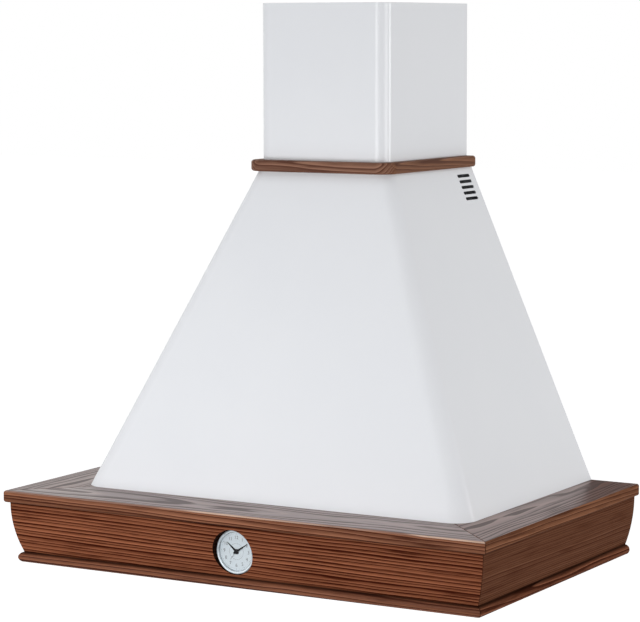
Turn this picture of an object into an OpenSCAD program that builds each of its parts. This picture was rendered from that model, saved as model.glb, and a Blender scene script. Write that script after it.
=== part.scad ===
// Wall range hood with a painted pyramid canopy on a moulded wooden base.
// The origin is the centre of the wall bolts on the wall plane.
// +Z is up, the wall is the plane y = 0 and the front faces -Y.

/* [Wooden base] */
// Width of the base over its top boards
base_w = 900; // [860:10:1000]
// Depth of the base from the wall to the front edge
base_d = 580; // [560:5:640]
// Height of the base from its underside to the face of the top boards
base_h = 123; // [118:1:150]
// Thickness of the top boards
board_t = 20; // [16:1:24]
// Width of the top boards
board_w = 130; // [125:1:140]
// Rounding of the top boards' outer edge
board_r = 4; // [2:0.5:6]
// How far the fascia stands back under the edge of the top boards
fascia_in = 8; // [4:1:12]
// How far the fascia's face curves back from its top to the bead
fascia_curve = 16; // [10:1:20]
// Thickness of the fascia at its top
fascia_t = 34; // [30:1:40]
// Height of the bead along the bottom
bead_h = 17; // [14:1:20]
// How far the bead stands back from the edge of the top boards
bead_in = 16; // [12:1:20]
// Leg of the corner glue blocks
block_leg = 55; // [40:5:70]

/* [Canopy] */
// Height of the pyramid canopy
canopy_h = 529; // [500:1:600]
// How far the canopy's foot stands in from each side of the base
canopy_side_in = 88; // [84:1:100]
// How far the canopy's foot stands in from the front of the base
canopy_front_in = 105; // [98:1:112]
// Width of the canopy's top
canopy_top_w = 260; // [256:1:280]
// Depth of the canopy's top
canopy_top_d = 297; // [290:1:310]
// Radius of the front corners at the foot
canopy_foot_r = 36; // [30:1:70]
// Radius of the front corners at the top
canopy_top_r = 25; // [15:1:30]
// Sheet thickness of the canopy, back and underside panels
sheet_t = 1.2; // [1:0.1:1.5]
// Width of the flange folded in along the canopy's foot
foot_flange_w = 20; // [16:1:25]
// Width of the opening through the canopy's top and the collar
throat_w = 200; // [190:1:210]
// Depth of that opening
throat_d = 240; // [225:1:245]
// Number of vent slots on each side
vent_count = 5; // [3:1:6]
// Length of a vent slot
vent_len = 40; // [30:1:50]
// Height of a vent slot
vent_h = 4.6; // [3.5:0.1:5]
// Height from one vent slot to the next
vent_pitch = 8.8; // [8:0.1:12]
// Drop from the canopy's top to the first vent slot
vent_drop = 14; // [10:1:25]
// Distance from the wall to the rear end of the vent slots
vent_back = 19; // [14:1:40]

/* [Collar and flue covers] */
// Height of the wooden collar
collar_h = 19; // [16:1:24]
// How far the collar stands out past the canopy's top at each side
collar_side_out = 8; // [4:1:12]
// How far the collar stands out past the canopy's top at the front
collar_front_out = 15; // [8:1:20]
// Radius of the collar's front corners
collar_r = 30; // [20:1:40]
// Rounding of the collar's edge
collar_edge_r = 5; // [2:0.5:7]
// Width of the lower flue cover
flue_w = 242; // [236:1:250]
// Depth of the lower flue cover
flue_d = 294; // [285:1:300]
// Height of the lower flue cover
flue_h = 261; // [230:1:320]
// Radius of the flue cover's front corners
flue_r = 22; // [12:1:28]
// Sheet thickness of both flue covers
flue_t = 1; // [0.8:0.1:1.5]
// Gap between the two flue covers
flue_gap = 1; // [0.6:0.1:1.5]
// Width of the returns along the flue covers' rear edges
flue_return_w = 20; // [15:1:25]
// How far the upper flue cover's top lies below the lower one's when it is pushed down
flue_top_drop = 3; // [1:1:10]

/* [Wall fixing] */
// Height of the wall bolts' centre above the underside of the base
bolt_centre_h = 500; // [480:5:510]
// Distance between the wall bolts, sideways
bolt_span_w = 220; // [180:5:240]
// Distance between the wall bolts, upwards
bolt_span_h = 120; // [100:5:140]
// Radius of the wall bolt holes
bolt_hole_r = 4.25; // [3:0.25:5]
// Distance between the holes of the upper flue cover's wall bracket
bracket_span = 80; // [60:5:120]
// Radius of the holes of the upper flue cover's wall bracket
bracket_hole_r = 2.75; // [2:0.25:3.5]

/* [Blower] */
// Outer radius of the blower wheel
wheel_r = 90; // [84:1:94]
// Width of the blower wheel
wheel_w = 136; // [120:1:140]
// Number of blades
blade_count = 36; // [24:1:40]
// Depth of the blades from the rim inwards
blade_depth = 14; // [10:1:18]
// Thickness of a blade
blade_t = 1; // [0.8:0.1:1.4]
// Gap between the wheel and the start of the scroll
scroll_gap = 14; // [10:1:16]
// How much the scroll's radius grows every quarter turn
scroll_step = 12; // [8:1:14]
// Wall of the blower housing
housing_t = 2.5; // [2:0.1:3]
// Width of the blower housing
housing_w = 170; // [160:1:176]
// Width of the blower's outlet from front to back
outlet_d = 120; // [110:1:124]
// Height of the wheel's axis above the underside of the base
fan_h = 370; // [350:1:372]
// Height of the blower shelf above the underside of the base
shelf_h = 520; // [516:1:524]
// Radius of the round inlets
inlet_r = 75; // [68:1:78]
// Radius of the motor
motor_r = 44; // [38:1:50]
// Length of the motor
motor_len = 72; // [60:1:74]
// Radius of the motor shaft
shaft_r = 4; // [3:0.5:6]
// Outer radius of the duct collar
duct_r = 74.5; // [60:0.5:76]
// Length of the duct collar above its flange
duct_len = 60; // [50:1:70]
// Height of the adapter from the rectangular outlet to the duct collar
adapter_h = 42; // [36:1:50]
// Wall of the duct collar and its adapter
duct_t = 2; // [1.5:0.1:3]

/* [Underside] */
// How far the underside panel lies above the bottom of the base
panel_up = 22; // [18:1:26]
// Height of the panel's outer flange
panel_flange_h = 38; // [24:1:40]
// Width of a grease filter
filter_w = 300; // [280:1:306]
// Distance from the front edge of the base to the grease filters
filter_front_in = 198; // [192:1:230]
// Thickness of a grease filter
filter_t = 9; // [8:0.5:10]
// Distance between the two filters
filter_apart = 12; // [8:1:20]
// Distance from the wall to the filters
filter_back = 60; // [50:1:64]
// Width of the filter frame's bars
filter_bar = 14; // [10:1:18]
// Width of the filter frame's front bar, which holds the latch
filter_front_bar = 32; // [30:1:36]
// Gap around a filter in its opening
filter_gap = 1.5; // [1:0.1:2]
// Width of the filter latch
latch_w = 60; // [50:1:70]
// Travel of the filter latch
latch_travel = 7; // [4:1:8]
// Radius of a lamp's rim
lamp_r = 34; // [28:1:38]
// Distance of the lamps from the middle
lamp_x = 300; // [240:5:320]
// Distance of the lamps from the front edge of the base
lamp_in = 116; // [100:1:130]
// Radius of a push button
button_r = 7; // [6:0.5:8]
// Distance between push buttons
button_pitch = 26; // [22:1:30]
// How far a push button stands out of its panel
button_out = 4; // [3.5:0.5:6]
// Travel of a push button
button_travel = 2.5; // [1.5:0.5:3]

/* [Clock] */
// Radius of the clock over its bezel
clock_r = 36; // [30:0.5:37]
// Height of the clock's centre above the underside of the base
clock_h = 59; // [57:1:62]
// Distance from the middle of the hood to the clock's centre, to the left
clock_left = 6; // [0:1:20]
// Width of the recess around the clock
clock_recess = 2; // [1.5:0.5:3.5]
// Distance from the front of the base to the floor of the clock's recess
clock_seat_in = 26; // [24:0.5:28]
// Radius of the clock's body behind its bezel
clock_body_r = 30; // [24:0.5:31]
// Depth of the clock's body behind its bezel
clock_body_d = 15; // [13:0.5:15.5]

/* [Hidden] */
$fn = 64;

// Running gap between faces that move past each other
run_gap = 0.3;
// Gap between pieces that are fixed but not joined
seat_gap = 0.3;
// Radial clearance of a pin or shaft in its bore
pin_fit = 0.05;
// Radial clearance of the wheel's bore on the motor shaft
press_fit = 0.02;
// Overshoot of a cut past the face it goes through
cut = 1;

// Heights, from the underside of the base upwards
base_z = -bolt_centre_h;
board_z = base_z + base_h - board_t;
canopy_z = base_z + base_h;
canopy_top_z = canopy_z + canopy_h;
flue_z = canopy_top_z + collar_h;
flue_top_z = flue_z + flue_h;
panel_z = base_z + panel_up;
shelf_z = base_z + shelf_h;
fan_z = base_z + fan_h;

// The canopy's foot
foot_w = base_w - 2 * canopy_side_in;
foot_d = base_d - canopy_front_in;
// How deep the flat plates at its foot and top start in the sloping wall, as shares of the sheet
foot_lap = 0.8;
top_lap = 0.3;

// The screws through the canopy's foot flange into the boards
frame_screw_r = 1.8;
frame_screw_head_r = 4;
frame_screw_head_h = 2.2;
frame_screw_len = 14;

// The wooden base
fascia_h = base_h - board_t - bead_h;
fascia_r = (pow(fascia_h, 2) + pow(fascia_curve, 2)) / (2 * fascia_curve);
inner_in = fascia_in + fascia_t;
inner_w = base_w - 2 * inner_in;
inner_d = base_d - inner_in;

// The collar, and the opening that it shares with the canopy's top
collar_w = canopy_top_w + 2 * collar_side_out;
collar_d = canopy_top_d + collar_front_out;
duct_y = -flue_d / 2;
throat_y = duct_y - throat_d / 2;

// The flue covers
upper_w = flue_w - 2 * (flue_t + flue_gap);
upper_y = -(flue_t + flue_gap);
upper_d = flue_d - 2 * (flue_t + flue_gap);
upper_z = flue_z + flue_t + run_gap;
upper_h = flue_top_z - flue_top_drop - upper_z;
bracket_t = 2;
bracket_h = 30;
bracket_top_drop = 12;
bracket_margin = 20;
flue_lip = 14;

// The blower scroll: three quarter arcs about the corners of a small square
scroll_c = scroll_step / 2;
scroll_r1 = wheel_r + scroll_gap;
scroll_r2 = scroll_r1 + scroll_step;
scroll_r3 = scroll_r2 + scroll_step;
outlet_rear = scroll_c + scroll_r3;
outlet_front = outlet_rear - outlet_d;
fan_y = duct_y - (outlet_front + outlet_rear) / 2;
outlet_up = shelf_z - fan_z;
outlet_lip = 12;
outlet_lip_t = 3;
outlet_in_w = housing_w - 2 * housing_t;
mount_r = 2;
screw_head_r = 4;
screw_head_h = 2.5;
inlet_lip_h = 8;
boss_out = 12;
boss_r = 7;
boss_h = 5;
shelf_side_h = 30;
shelf_front_h = 12;
shelf_rear_h = 24;
shelf_edge = 20;
capacitor_r = 15;
capacitor_h = 58;
capacitor_stud_r = 3.8;
capacitor_x = 60;
capacitor_y = -35;
mount_x = housing_w / 2 + outlet_lip / 2;
mount_y = outlet_d / 2 + housing_t + outlet_lip / 2 - 1;

// The duct collar on its adapter
adapter_z = shelf_z + sheet_t;
duct_z = adapter_z + outlet_lip_t + adapter_h;
duct_flange_t = 2.5;
duct_flange_out = 8;
flap_pin_r = 1.5;
flap_pin_up = duct_flange_t + 10;
flap_t = 1.2;
flap_root = 4;
flap_knuckle_r = 3;
flap_knuckle_w = 14;
front_knuckles = [-50, -flap_knuckle_w / 2, 50 - flap_knuckle_w];
rear_knuckles = [-1.5 * flap_knuckle_w - 7, 0.5 * flap_knuckle_w + 7];
flap_edge_gap = 1.2;
flap_stop_w = 3;
flap_stop_t = 1.5;

// The blower wheel and motor
wheel_disc_t = 2;
wheel_ring_t = 3;
wheel_hub_r = 12;
wheel_hub_len = 22;
wheel_ring_w = 4;
motor_gap = 12;
motor_x = -motor_gap - motor_len;
motor_waist = 3;
motor_cap_len = 24;
motor_boss_r = 16;
motor_nose_r = 14;
motor_slot_count = 12;
shaft_in_motor = 10;
shaft_in_hub = 14;
arm_w = 12;
arm_hub_r = 26;
arm_rib_h = 4;
bracket_x = -housing_w / 2 - boss_h;

// The junction box on the back panel and the gland for the supply cable
box_w = 90;
box_d = 36;
box_h = 70;
box_t = 2;
box_side_in = 235;
box_up = 150;
box_x = base_w / 2 - box_side_in;
box_z = panel_z + box_up;
gland_r = 4;
gland_wall = 3;
gland_nut_h = 5;
gland_len = 12;

// The grease filters
filter_x = (filter_w + filter_apart) / 2;
filter_rear_gap = filter_gap + 0.7;
filter_y = -filter_back - filter_rear_gap;
filter_d = base_d - filter_front_in + filter_y;
hinge_in = 3;
hinge_up = 3.4;
hinge_pin_r = 2;
ledge_gap = 1.3;
ledge_w = 8;
latch_t = 4;
latch_d = 15;
latch_wall = 4;
mesh_pitch = 24;
mesh_hole_r = 10;
mesh_edge = 8;
mesh_in = 1.5;

// The lamps and the switch panel
lamp_y = -base_d + lamp_in;
lamp_body_r = lamp_r - 4;
lamp_rim_t = 2;
lamp_can_h = 24;
lamp_glass_t = 3;
lamp_wall = 3;
button_count = 5;
switch_y = lamp_y;
switch_w = (button_count + 1) * button_pitch + 20;
switch_d = 36;
switch_t = 3;
switch_box_h = 16;
switch_edge = 4;
button_len = 9;
button_collar_t = 2;
button_collar_out = 2;
button_bevel = 1;

// The clock
clock_z = base_z + clock_h;
clock_y = -base_d + clock_seat_in;
clock_bezel_t = 5;
clock_dial_r = clock_r - 4;
clock_floor_t = 1;
clock_wall = 2;
clock_edge_r = 1.5;
clock_glass_t = 0.8;
clock_glass_seat = 1;
movement_w = 38;
movement_h = 12;
setting_knob_r = 4;
dial_t = 0.5;
hand_t = 0.4;
hand_gap = 0.5;
hand_space = 0.15;
minute_arbor_r = 0.85;
second_arbor_r = 0.4;
movement_tube_r = 1.3;
arbor_in = 3;
hour_len = 22;
minute_len = 25;
second_len = 18;
hour_angle = 310;
minute_angle = 57;
second_angle = 218;

function arc_points(x, y, r, a0, a1, n) =
    [for (i = [0:n]) let (a = a0 + (a1 - a0) * i / n) [x + r * cos(a), y + r * sin(a)]];

// Path along the left side, the front and the right side of a cover that stands against the wall
function cover_path(w, d, r, n) = concat(
    [[-w / 2, 0]],
    arc_points(-w / 2 + r, -d + r, r, 180, 270, n),
    arc_points(w / 2 - r, -d + r, r, 270, 360, n),
    [[w / 2, 0]]
);

function at_height(path, z) = [for (p = path) [p[0], p[1], z]];

// Wall of sheet that tapers from one cover path to another
module tapered_wall(w0, d0, r0, w1, d1, r1, z0, z1, t, n = 16) {
    count = 2 * n + 4;
    rings = concat(
        at_height(cover_path(w0, d0, r0, n), z0),
        at_height(cover_path(w1, d1, r1, n), z1),
        at_height(cover_path(w1 - 2 * t, d1 - t, r1 - t, n), z1),
        at_height(cover_path(w0 - 2 * t, d0 - t, r0 - t, n), z0)
    );
    strips = [
        for (k = [0:3], i = [0:count - 2])
        let (a = k * count + i, b = ((k + 1) % 4) * count + i)
        [a, b, b + 1, a + 1]
    ];
    ends = [[0, 3 * count, 2 * count, count], [for (k = [1:4]) k * count - 1]];
    polyhedron(points = rings, faces = concat(strips, ends), convexity = 4);
}

// Outline of a cover in plan: square at the wall, round at the front corners
module cover_plan(w, d, r) {
    translate([-w / 2, -d + r]) square([w, d - r]);
    translate([-w / 2 + r, -d]) square([w - 2 * r, r]);
    for (side = [-1, 1]) {
        translate([side * (w / 2 - r), -d + r]) circle(r);
    }
}

// A bar's outline is drawn as distance in from the edge of the base against height above its underside
module front_bar() {
    intersection() {
        translate([-base_w / 2, -base_d, base_z]) {
            rotate([90, 0, 90]) linear_extrude(base_w) children();
        }
        translate([0, 0, base_z - cut]) linear_extrude(base_h + 2 * cut) polygon([
            [-base_w / 2, -base_d],
            [base_w / 2, -base_d],
            [base_w / 2 - board_w - cut, -base_d + board_w + cut],
            [-base_w / 2 + board_w + cut, -base_d + board_w + cut]
        ]);
    }
}

module right_bar() {
    intersection() {
        translate([base_w / 2, -base_d, base_z]) {
            rotate([90, 0, 180]) linear_extrude(base_d) children();
        }
        translate([0, 0, base_z - cut]) linear_extrude(base_h + 2 * cut) polygon([
            [base_w / 2, -base_d],
            [base_w / 2, 0],
            [base_w / 2 - board_w - cut, 0],
            [base_w / 2 - board_w - cut, -base_d + board_w + cut]
        ]);
    }
}

module left_bar() {
    mirror([1, 0, 0]) right_bar() children();
}

module board_outline() {
    translate([0, base_h - board_t]) {
        translate([board_r, 0]) square([board_w - board_r, board_t]);
        translate([0, board_r]) square([board_r, board_t - 2 * board_r]);
        translate([board_r, board_r]) circle(board_r);
        translate([board_r, board_t - board_r]) circle(board_r);
    }
}

module fascia_outline() {
    intersection() {
        translate([fascia_in, bead_h]) square([fascia_t, fascia_h]);
        translate([fascia_in + fascia_r, bead_h + fascia_h]) circle(fascia_r, $fn = 360);
    }
}

module bead_outline() {
    translate([bead_in + bead_h / 2, 0]) square([inner_in - bead_in - bead_h / 2, bead_h]);
    translate([bead_in + bead_h / 2, bead_h / 2]) circle(bead_h / 2);
}

// A board with its holes for the canopy's screws
module drilled() {
    difference() {
        children();
        frame_screw_places() translate([0, 0, -frame_screw_len])
            cylinder(r = frame_screw_r + pin_fit, h = frame_screw_len + cut);
    }
}

// Wooden base
module front_board() { color("saddlebrown") drilled() front_bar() board_outline(); }
module left_board() { color("saddlebrown") drilled() left_bar() board_outline(); }
module right_board() { color("saddlebrown") drilled() right_bar() board_outline(); }
module left_fascia() { color("sienna") left_bar() fascia_outline(); }
module right_fascia() { color("sienna") right_bar() fascia_outline(); }
module front_bead() { color("saddlebrown") front_bar() bead_outline(); }
module left_bead() { color("saddlebrown") left_bar() bead_outline(); }
module right_bead() { color("saddlebrown") right_bar() bead_outline(); }

module front_fascia() {
    color("sienna") difference() {
        front_bar() fascia_outline();
        on_clock_axis() cylinder(r = clock_r + clock_recess, h = clock_seat_in + cut);
        on_clock_axis() cylinder(r = clock_body_r + pin_fit, h = 2 * (fascia_t + cut), center = true);
    }
}

// Glue blocks in the two front corners, and square blocks behind the ends of the side fascias
module corner_blocks() {
    block_z = panel_z + panel_flange_h + seat_gap;
    color("burlywood") for (side = [-1, 1]) {
        translate([0, 0, block_z]) linear_extrude(board_z - block_z) polygon([
            [side * inner_w / 2, -inner_d],
            [side * (inner_w / 2 - block_leg), -inner_d],
            [side * inner_w / 2, -inner_d + block_leg]
        ]);
        translate([side * (inner_w / 2 - block_leg / 4), -block_leg / 4, (block_z + board_z) / 2])
            cube([block_leg / 2, block_leg / 2, board_z - block_z], center = true);
    }
}

// Canopy
module canopy() {
    color("white") difference() {
        union() {
            tapered_wall(foot_w, foot_d, canopy_foot_r, canopy_top_w, canopy_top_d, canopy_top_r,
                canopy_z, canopy_top_z, sheet_t);
            canopy_foot_flange();
            canopy_top_plate();
        }
        vent_slots();
        frame_screw_places() cylinder(r = frame_screw_r + pin_fit, h = 4 * sheet_t, center = true);
    }
}

module canopy_foot_flange() {
    t = sheet_t;
    w = foot_flange_w + t;
    lap = foot_lap * t;
    translate([0, 0, canopy_z]) linear_extrude(t) difference() {
        cover_plan(foot_w - 2 * lap, foot_d - lap, canopy_foot_r - lap);
        translate([0, cut]) cover_plan(foot_w - 2 * w, foot_d - w + cut, canopy_foot_r - w);
        translate([-foot_w / 2, -t - seat_gap]) square([foot_w, t + seat_gap + cut]);
    }
}

module canopy_top_plate() {
    t = sheet_t;
    lap = top_lap * t;
    translate([0, 0, canopy_top_z - t]) linear_extrude(t) difference() {
        cover_plan(canopy_top_w - 2 * lap, canopy_top_d - lap, canopy_top_r - lap);
        translate([-throat_w / 2, throat_y]) square([throat_w, throat_d]);
    }
}

module vent_slots() {
    h = vent_h / 2;
    for (i = [0:vent_count - 1]) {
        z = canopy_top_z - vent_drop - i * vent_pitch;
        for (y = [-vent_back - h, -vent_back - vent_len + h]) {
            translate([0, y, z]) rotate([0, 90, 0]) cylinder(r = h, h = foot_w, center = true);
        }
        translate([0, -vent_back - vent_len / 2, z]) cube([foot_w, vent_len - 2 * h, 2 * h], center = true);
    }
}

// Places of the screws through the canopy's foot flange
module frame_screw_places() {
    in = (foot_flange_w + sheet_t) / 2 + 1;
    for (side = [-1, 1]) {
        for (k = [0.2, 0.5, 0.8]) {
            translate([side * (foot_w / 2 - in), -k * (foot_d - canopy_foot_r), canopy_z + sheet_t])
                children();
        }
        for (k = [0.35, 0.9]) {
            translate([side * k * (foot_w / 2 - canopy_foot_r), -foot_d + in, canopy_z + sheet_t])
                children();
        }
    }
}

module frame_screws() {
    color("silver") frame_screw_places() {
        cylinder(r1 = frame_screw_head_r, r2 = frame_screw_r, h = frame_screw_head_h);
        translate([0, 0, -frame_screw_len])
            cylinder(r = frame_screw_r, h = frame_screw_len + frame_screw_head_h / 2);
    }
}

// Plate against the wall inside the canopy, with the wall bolt holes
module back_panel() {
    low = base_w / 2 - board_w - seat_gap;
    foot = foot_w / 2 - sheet_t - seat_gap;
    top = canopy_top_w / 2 - sheet_t - seat_gap;
    top_z = canopy_top_z - sheet_t;
    color("silver") difference() {
        rotate([90, 0, 0]) linear_extrude(sheet_t) polygon([
            [-low, panel_z], [low, panel_z], [low, canopy_z], [foot, canopy_z],
            [top, top_z], [-top, top_z], [-foot, canopy_z], [-low, canopy_z]
        ]);
        for (x = [-1, 1], z = [-1, 1]) {
            translate([x * bolt_span_w / 2, 0, z * bolt_span_h / 2])
                rotate([90, 0, 0]) cylinder(r = bolt_hole_r, h = 4 * sheet_t, center = true);
        }
    }
}

// Wooden collar between the canopy and the flue cover, one milled board
module collar() {
    e = collar_edge_r;
    color("saddlebrown") difference() {
        union() {
            translate([0, 0, canopy_top_z + e]) linear_extrude(collar_h - 2 * e)
                cover_plan(collar_w, collar_d, collar_r);
            translate([0, 0, canopy_top_z]) linear_extrude(collar_h)
                cover_plan(collar_w - 2 * e, collar_d - e, collar_r - e);
            for (z = [canopy_top_z + e, canopy_top_z + collar_h - e]) {
                collar_edge(z);
            }
        }
        translate([-throat_w / 2, throat_y, canopy_top_z - cut])
            cube([throat_w, throat_d, collar_h + 2 * cut]);
    }
}

// Half-round rim of the collar at one height
module collar_edge(z) {
    e = collar_edge_r;
    r = collar_r - e;
    x = collar_w / 2 - collar_r;
    y = -collar_d + collar_r;
    for (side = [-1, 1]) {
        translate([side * (collar_w / 2 - e), y, z]) rotate([-90, 0, 0])
            cylinder(r = e, h = collar_d - collar_r);
        translate([side * x, y, z]) rotate_extrude() translate([r, 0]) intersection() {
            circle(e);
            translate([0, -e]) square([e, 2 * e]);
        }
    }
    translate([-x, -collar_d + e, z]) rotate([0, 90, 0]) cylinder(r = e, h = 2 * x);
}

// Flue covers: sheet folded round the front, with returns along the wall
module flue_sheet(w, d, r, t, h) {
    linear_extrude(h) difference() {
        cover_plan(w, d, r);
        translate([0, -t]) cover_plan(w - 2 * t, d - 2 * t, r - t);
        translate([-w / 2 + flue_return_w, -t - cut]) square([w - 2 * flue_return_w, t + 2 * cut]);
    }
}

module lower_flue() {
    lip = flue_lip;
    color("whitesmoke") difference() {
        union() {
            translate([0, 0, flue_z]) flue_sheet(flue_w, flue_d, flue_r, flue_t, flue_h);
            translate([0, 0, flue_z]) linear_extrude(flue_t) difference() {
                cover_plan(flue_w - flue_t, flue_d - flue_t / 2, flue_r - flue_t / 2);
                translate([0, cut]) cover_plan(flue_w - 2 * lip, flue_d - lip + cut, flue_r - lip);
            }
        }
        translate([0, 0, flue_z - cut]) linear_extrude(flue_t + 2 * cut)
            translate([-flue_w / 2 + flue_return_w, -lip]) square([flue_w - 2 * flue_return_w, 2 * lip]);
    }
}

module upper_flue() {
    color("gainsboro") translate([0, upper_y, upper_z])
        flue_sheet(upper_w, upper_d, flue_r - flue_t - flue_gap, flue_t, upper_h);
}

// Joggled strip that holds the upper flue cover to the wall
module flue_bracket() {
    t = bracket_t;
    half = upper_w / 2 - flue_t - seat_gap;
    mid = bracket_span / 2 + bracket_margin;
    rear = upper_y - flue_t;
    z = upper_z + upper_h - bracket_top_drop - bracket_h;
    color("silver") difference() {
        union() {
            translate([-mid, -t, z]) cube([2 * mid, t, bracket_h]);
            for (side = [-1, 1]) {
                translate([side * (mid - t / 2) - t / 2, rear - t, z]) cube([t, t - rear, bracket_h]);
                translate([side > 0 ? mid - t : -half, rear - t, z]) cube([half - mid + t, t, bracket_h]);
                translate([side * (half - t / 2) - t / 2, rear - t - bracket_margin, z])
                    cube([t, bracket_margin + t, bracket_h]);
            }
        }
        for (side = [-1, 1]) {
            translate([side * bracket_span / 2, 0, z + bracket_h / 2])
                rotate([90, 0, 0]) cylinder(r = bracket_hole_r, h = 4 * t, center = true);
        }
    }
}

// Places a shape that is drawn along X in the plane of the blower scroll
module across_fan(x) {
    translate([x, fan_y, fan_z]) rotate([90, 0, 90]) children();
}

// Scroll outline, seen along the wheel's axis, grown outwards by g and with its outlet up to a height
module scroll(g, up) {
    c = scroll_c;
    intersection() {
        translate([-c, -c]) circle(scroll_r1 + g);
        translate([-c - scroll_r1 - g, -c]) square(scroll_r1 + g);
    }
    intersection() {
        translate([c, -c]) circle(scroll_r2 + g);
        translate([c - scroll_r2 - g, -c - scroll_r2 - g]) square(scroll_r2 + g);
    }
    intersection() {
        translate([c, c]) circle(scroll_r3 + g);
        translate([c, c - scroll_r3 - g]) square(scroll_r3 + g);
    }
    translate([-c, -c]) square([outlet_front + c, scroll_r1 + g]);
    translate([outlet_front - g, -c]) square([c - outlet_front + g + outlet_rear - c + g, c * 2]);
    translate([outlet_front - g, c]) square([outlet_d + 2 * g, up - c]);
}

// Half of the blower housing on the +X side: a side wall with its inlet, half of the scroll wall and
// half of the lip round the outlet
module housing_half() {
    half = housing_w / 2;
    lip_d = outlet_d + 2 * (housing_t + outlet_lip);
    difference() {
        union() {
            across_fan(half - housing_t) linear_extrude(housing_t) scroll(housing_t, outlet_up);
            across_fan(0) linear_extrude(half) difference() {
                scroll(housing_t, outlet_up);
                scroll(0, outlet_up + cut);
            }
            translate([0, duct_y - lip_d / 2, shelf_z - outlet_lip_t])
                cube([half + outlet_lip, lip_d, outlet_lip_t]);
            across_fan(half - inlet_lip_h) rotate_extrude() translate([inlet_r, 0])
                square([housing_t, inlet_lip_h]);
            for (k = [0:2]) {
                across_fan(half) rotate([0, 0, 90 + 120 * k]) translate([inlet_r + boss_out, 0])
                    cylinder(r = boss_r, h = boss_h);
            }
        }
        across_fan(half - housing_t - cut) cylinder(r = inlet_r, h = 2 * inlet_lip_h);
        translate([-cut, duct_y - outlet_d / 2, shelf_z - 4 * outlet_lip_t])
            cube([half - housing_t + cut, outlet_d, 5 * outlet_lip_t]);
        shelf_screw_places() cylinder(r = mount_r + pin_fit, h = 4 * outlet_lip_t, center = true);
        for (k = [0:2]) {
            across_fan(half - housing_t - cut) rotate([0, 0, 90 + 120 * k])
                translate([inlet_r + boss_out, 0]) cylinder(r = mount_r + pin_fit, h = 4 * boss_h);
        }
    }
}

module blower_housing_right() { color("dimgray") housing_half(); }
module blower_housing_left() { color("dimgray") mirror([1, 0, 0]) housing_half(); }

module shelf_screw_places() {
    for (x = [-1, 1], y = [-1, 1]) {
        translate([x * mount_x, duct_y + y * mount_y, shelf_z]) children();
    }
}

// Screws that clamp the adapter, the shelf and the housing's lip
module blower_screws() {
    color("silver") {
        shelf_screw_places() {
            translate([0, 0, sheet_t + outlet_lip_t]) cylinder(r = screw_head_r, h = screw_head_h);
            translate([0, 0, -outlet_lip_t]) cylinder(r = mount_r, h = 2 * outlet_lip_t + sheet_t + cut);
        }
        motor_screw_places() {
            translate([0, 0, -screw_head_h - bracket_t]) cylinder(r = screw_head_r, h = screw_head_h);
            translate([0, 0, -bracket_t - cut]) cylinder(r = mount_r, h = bracket_t + boss_h);
        }
    }
}

// Steel shelf that hangs the blower from the back panel
module blower_shelf() {
    half = mount_x + shelf_edge;
    depth = -duct_y + mount_y + shelf_edge;
    t = sheet_t;
    color("silver") difference() {
        union() {
            translate([-half, -depth, shelf_z]) cube([2 * half, depth - t, t]);
            translate([-half, -2 * t, shelf_z - shelf_rear_h]) cube([2 * half, t, shelf_rear_h + t]);
            for (side = [-1, 1]) {
                translate([side * (half - t / 2) - t / 2, -t, shelf_z + t]) rotate([0, 90, 0])
                    linear_extrude(t)
                    polygon([[0, 0], [shelf_side_h, 0], [shelf_front_h, -depth + t], [0, -depth + t]]);
            }
        }
        translate([-outlet_in_w / 2, duct_y - outlet_d / 2, shelf_z - cut])
            cube([outlet_in_w, outlet_d, t + 2 * cut]);
        shelf_screw_places() cylinder(r = mount_r + pin_fit, h = 4 * t, center = true);
        translate([capacitor_x, capacitor_y, shelf_z - cut])
            cylinder(r = capacitor_stud_r + pin_fit, h = t + 2 * cut);
    }
}

// Run capacitor, held upright on the shelf by its threaded stud
module capacitor() {
    color("lightgray") translate([capacitor_x, capacitor_y, shelf_z + sheet_t]) {
        cylinder(r = capacitor_r, h = capacitor_h);
        translate([0, 0, -sheet_t - 8]) cylinder(r = capacitor_stud_r, h = 8 + sheet_t + cut);
        translate([0, 0, capacitor_h]) cylinder(r = capacitor_r - 4, h = 3);
        for (side = [-1, 1]) {
            translate([side * 5 - 0.4, -3, capacitor_h + 3]) cube([0.8, 6, 8]);
        }
    }
}

// Adapter from the rectangular outlet to the round duct collar
module outlet_adapter() {
    lip_d = outlet_d + 2 * (housing_t + outlet_lip);
    lip_w = housing_w + 2 * outlet_lip;
    flange_z = outlet_lip_t + adapter_h - duct_flange_t;
    color("dimgray") translate([0, duct_y, adapter_z]) difference() {
        union() {
            translate([-lip_w / 2, -lip_d / 2, 0]) cube([lip_w, lip_d, outlet_lip_t]);
            hull() {
                translate([-housing_w / 2, -outlet_d / 2 - duct_t, outlet_lip_t / 2])
                    cube([housing_w, outlet_d + 2 * duct_t, outlet_lip_t / 2]);
                translate([0, 0, flange_z]) cylinder(r = duct_r + duct_t, h = duct_flange_t, $fn = 32);
            }
            translate([0, 0, flange_z]) cylinder(r = duct_r + duct_flange_out, h = duct_flange_t);
        }
        hull() {
            translate([-outlet_in_w / 2, -outlet_d / 2, -cut])
                cube([outlet_in_w, outlet_d, cut + outlet_lip_t]);
            translate([0, 0, flange_z]) cylinder(r = duct_r - duct_t, h = duct_flange_t, $fn = 32);
        }
        translate([0, 0, flange_z - cut]) cylinder(r = duct_r - duct_t, h = adapter_h);
        for (x = [-1, 1], y = [-1, 1]) {
            translate([x * mount_x, y * mount_y, -cut])
                cylinder(r = mount_r + pin_fit, h = outlet_lip_t + 2 * cut);
        }
    }
}

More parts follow.
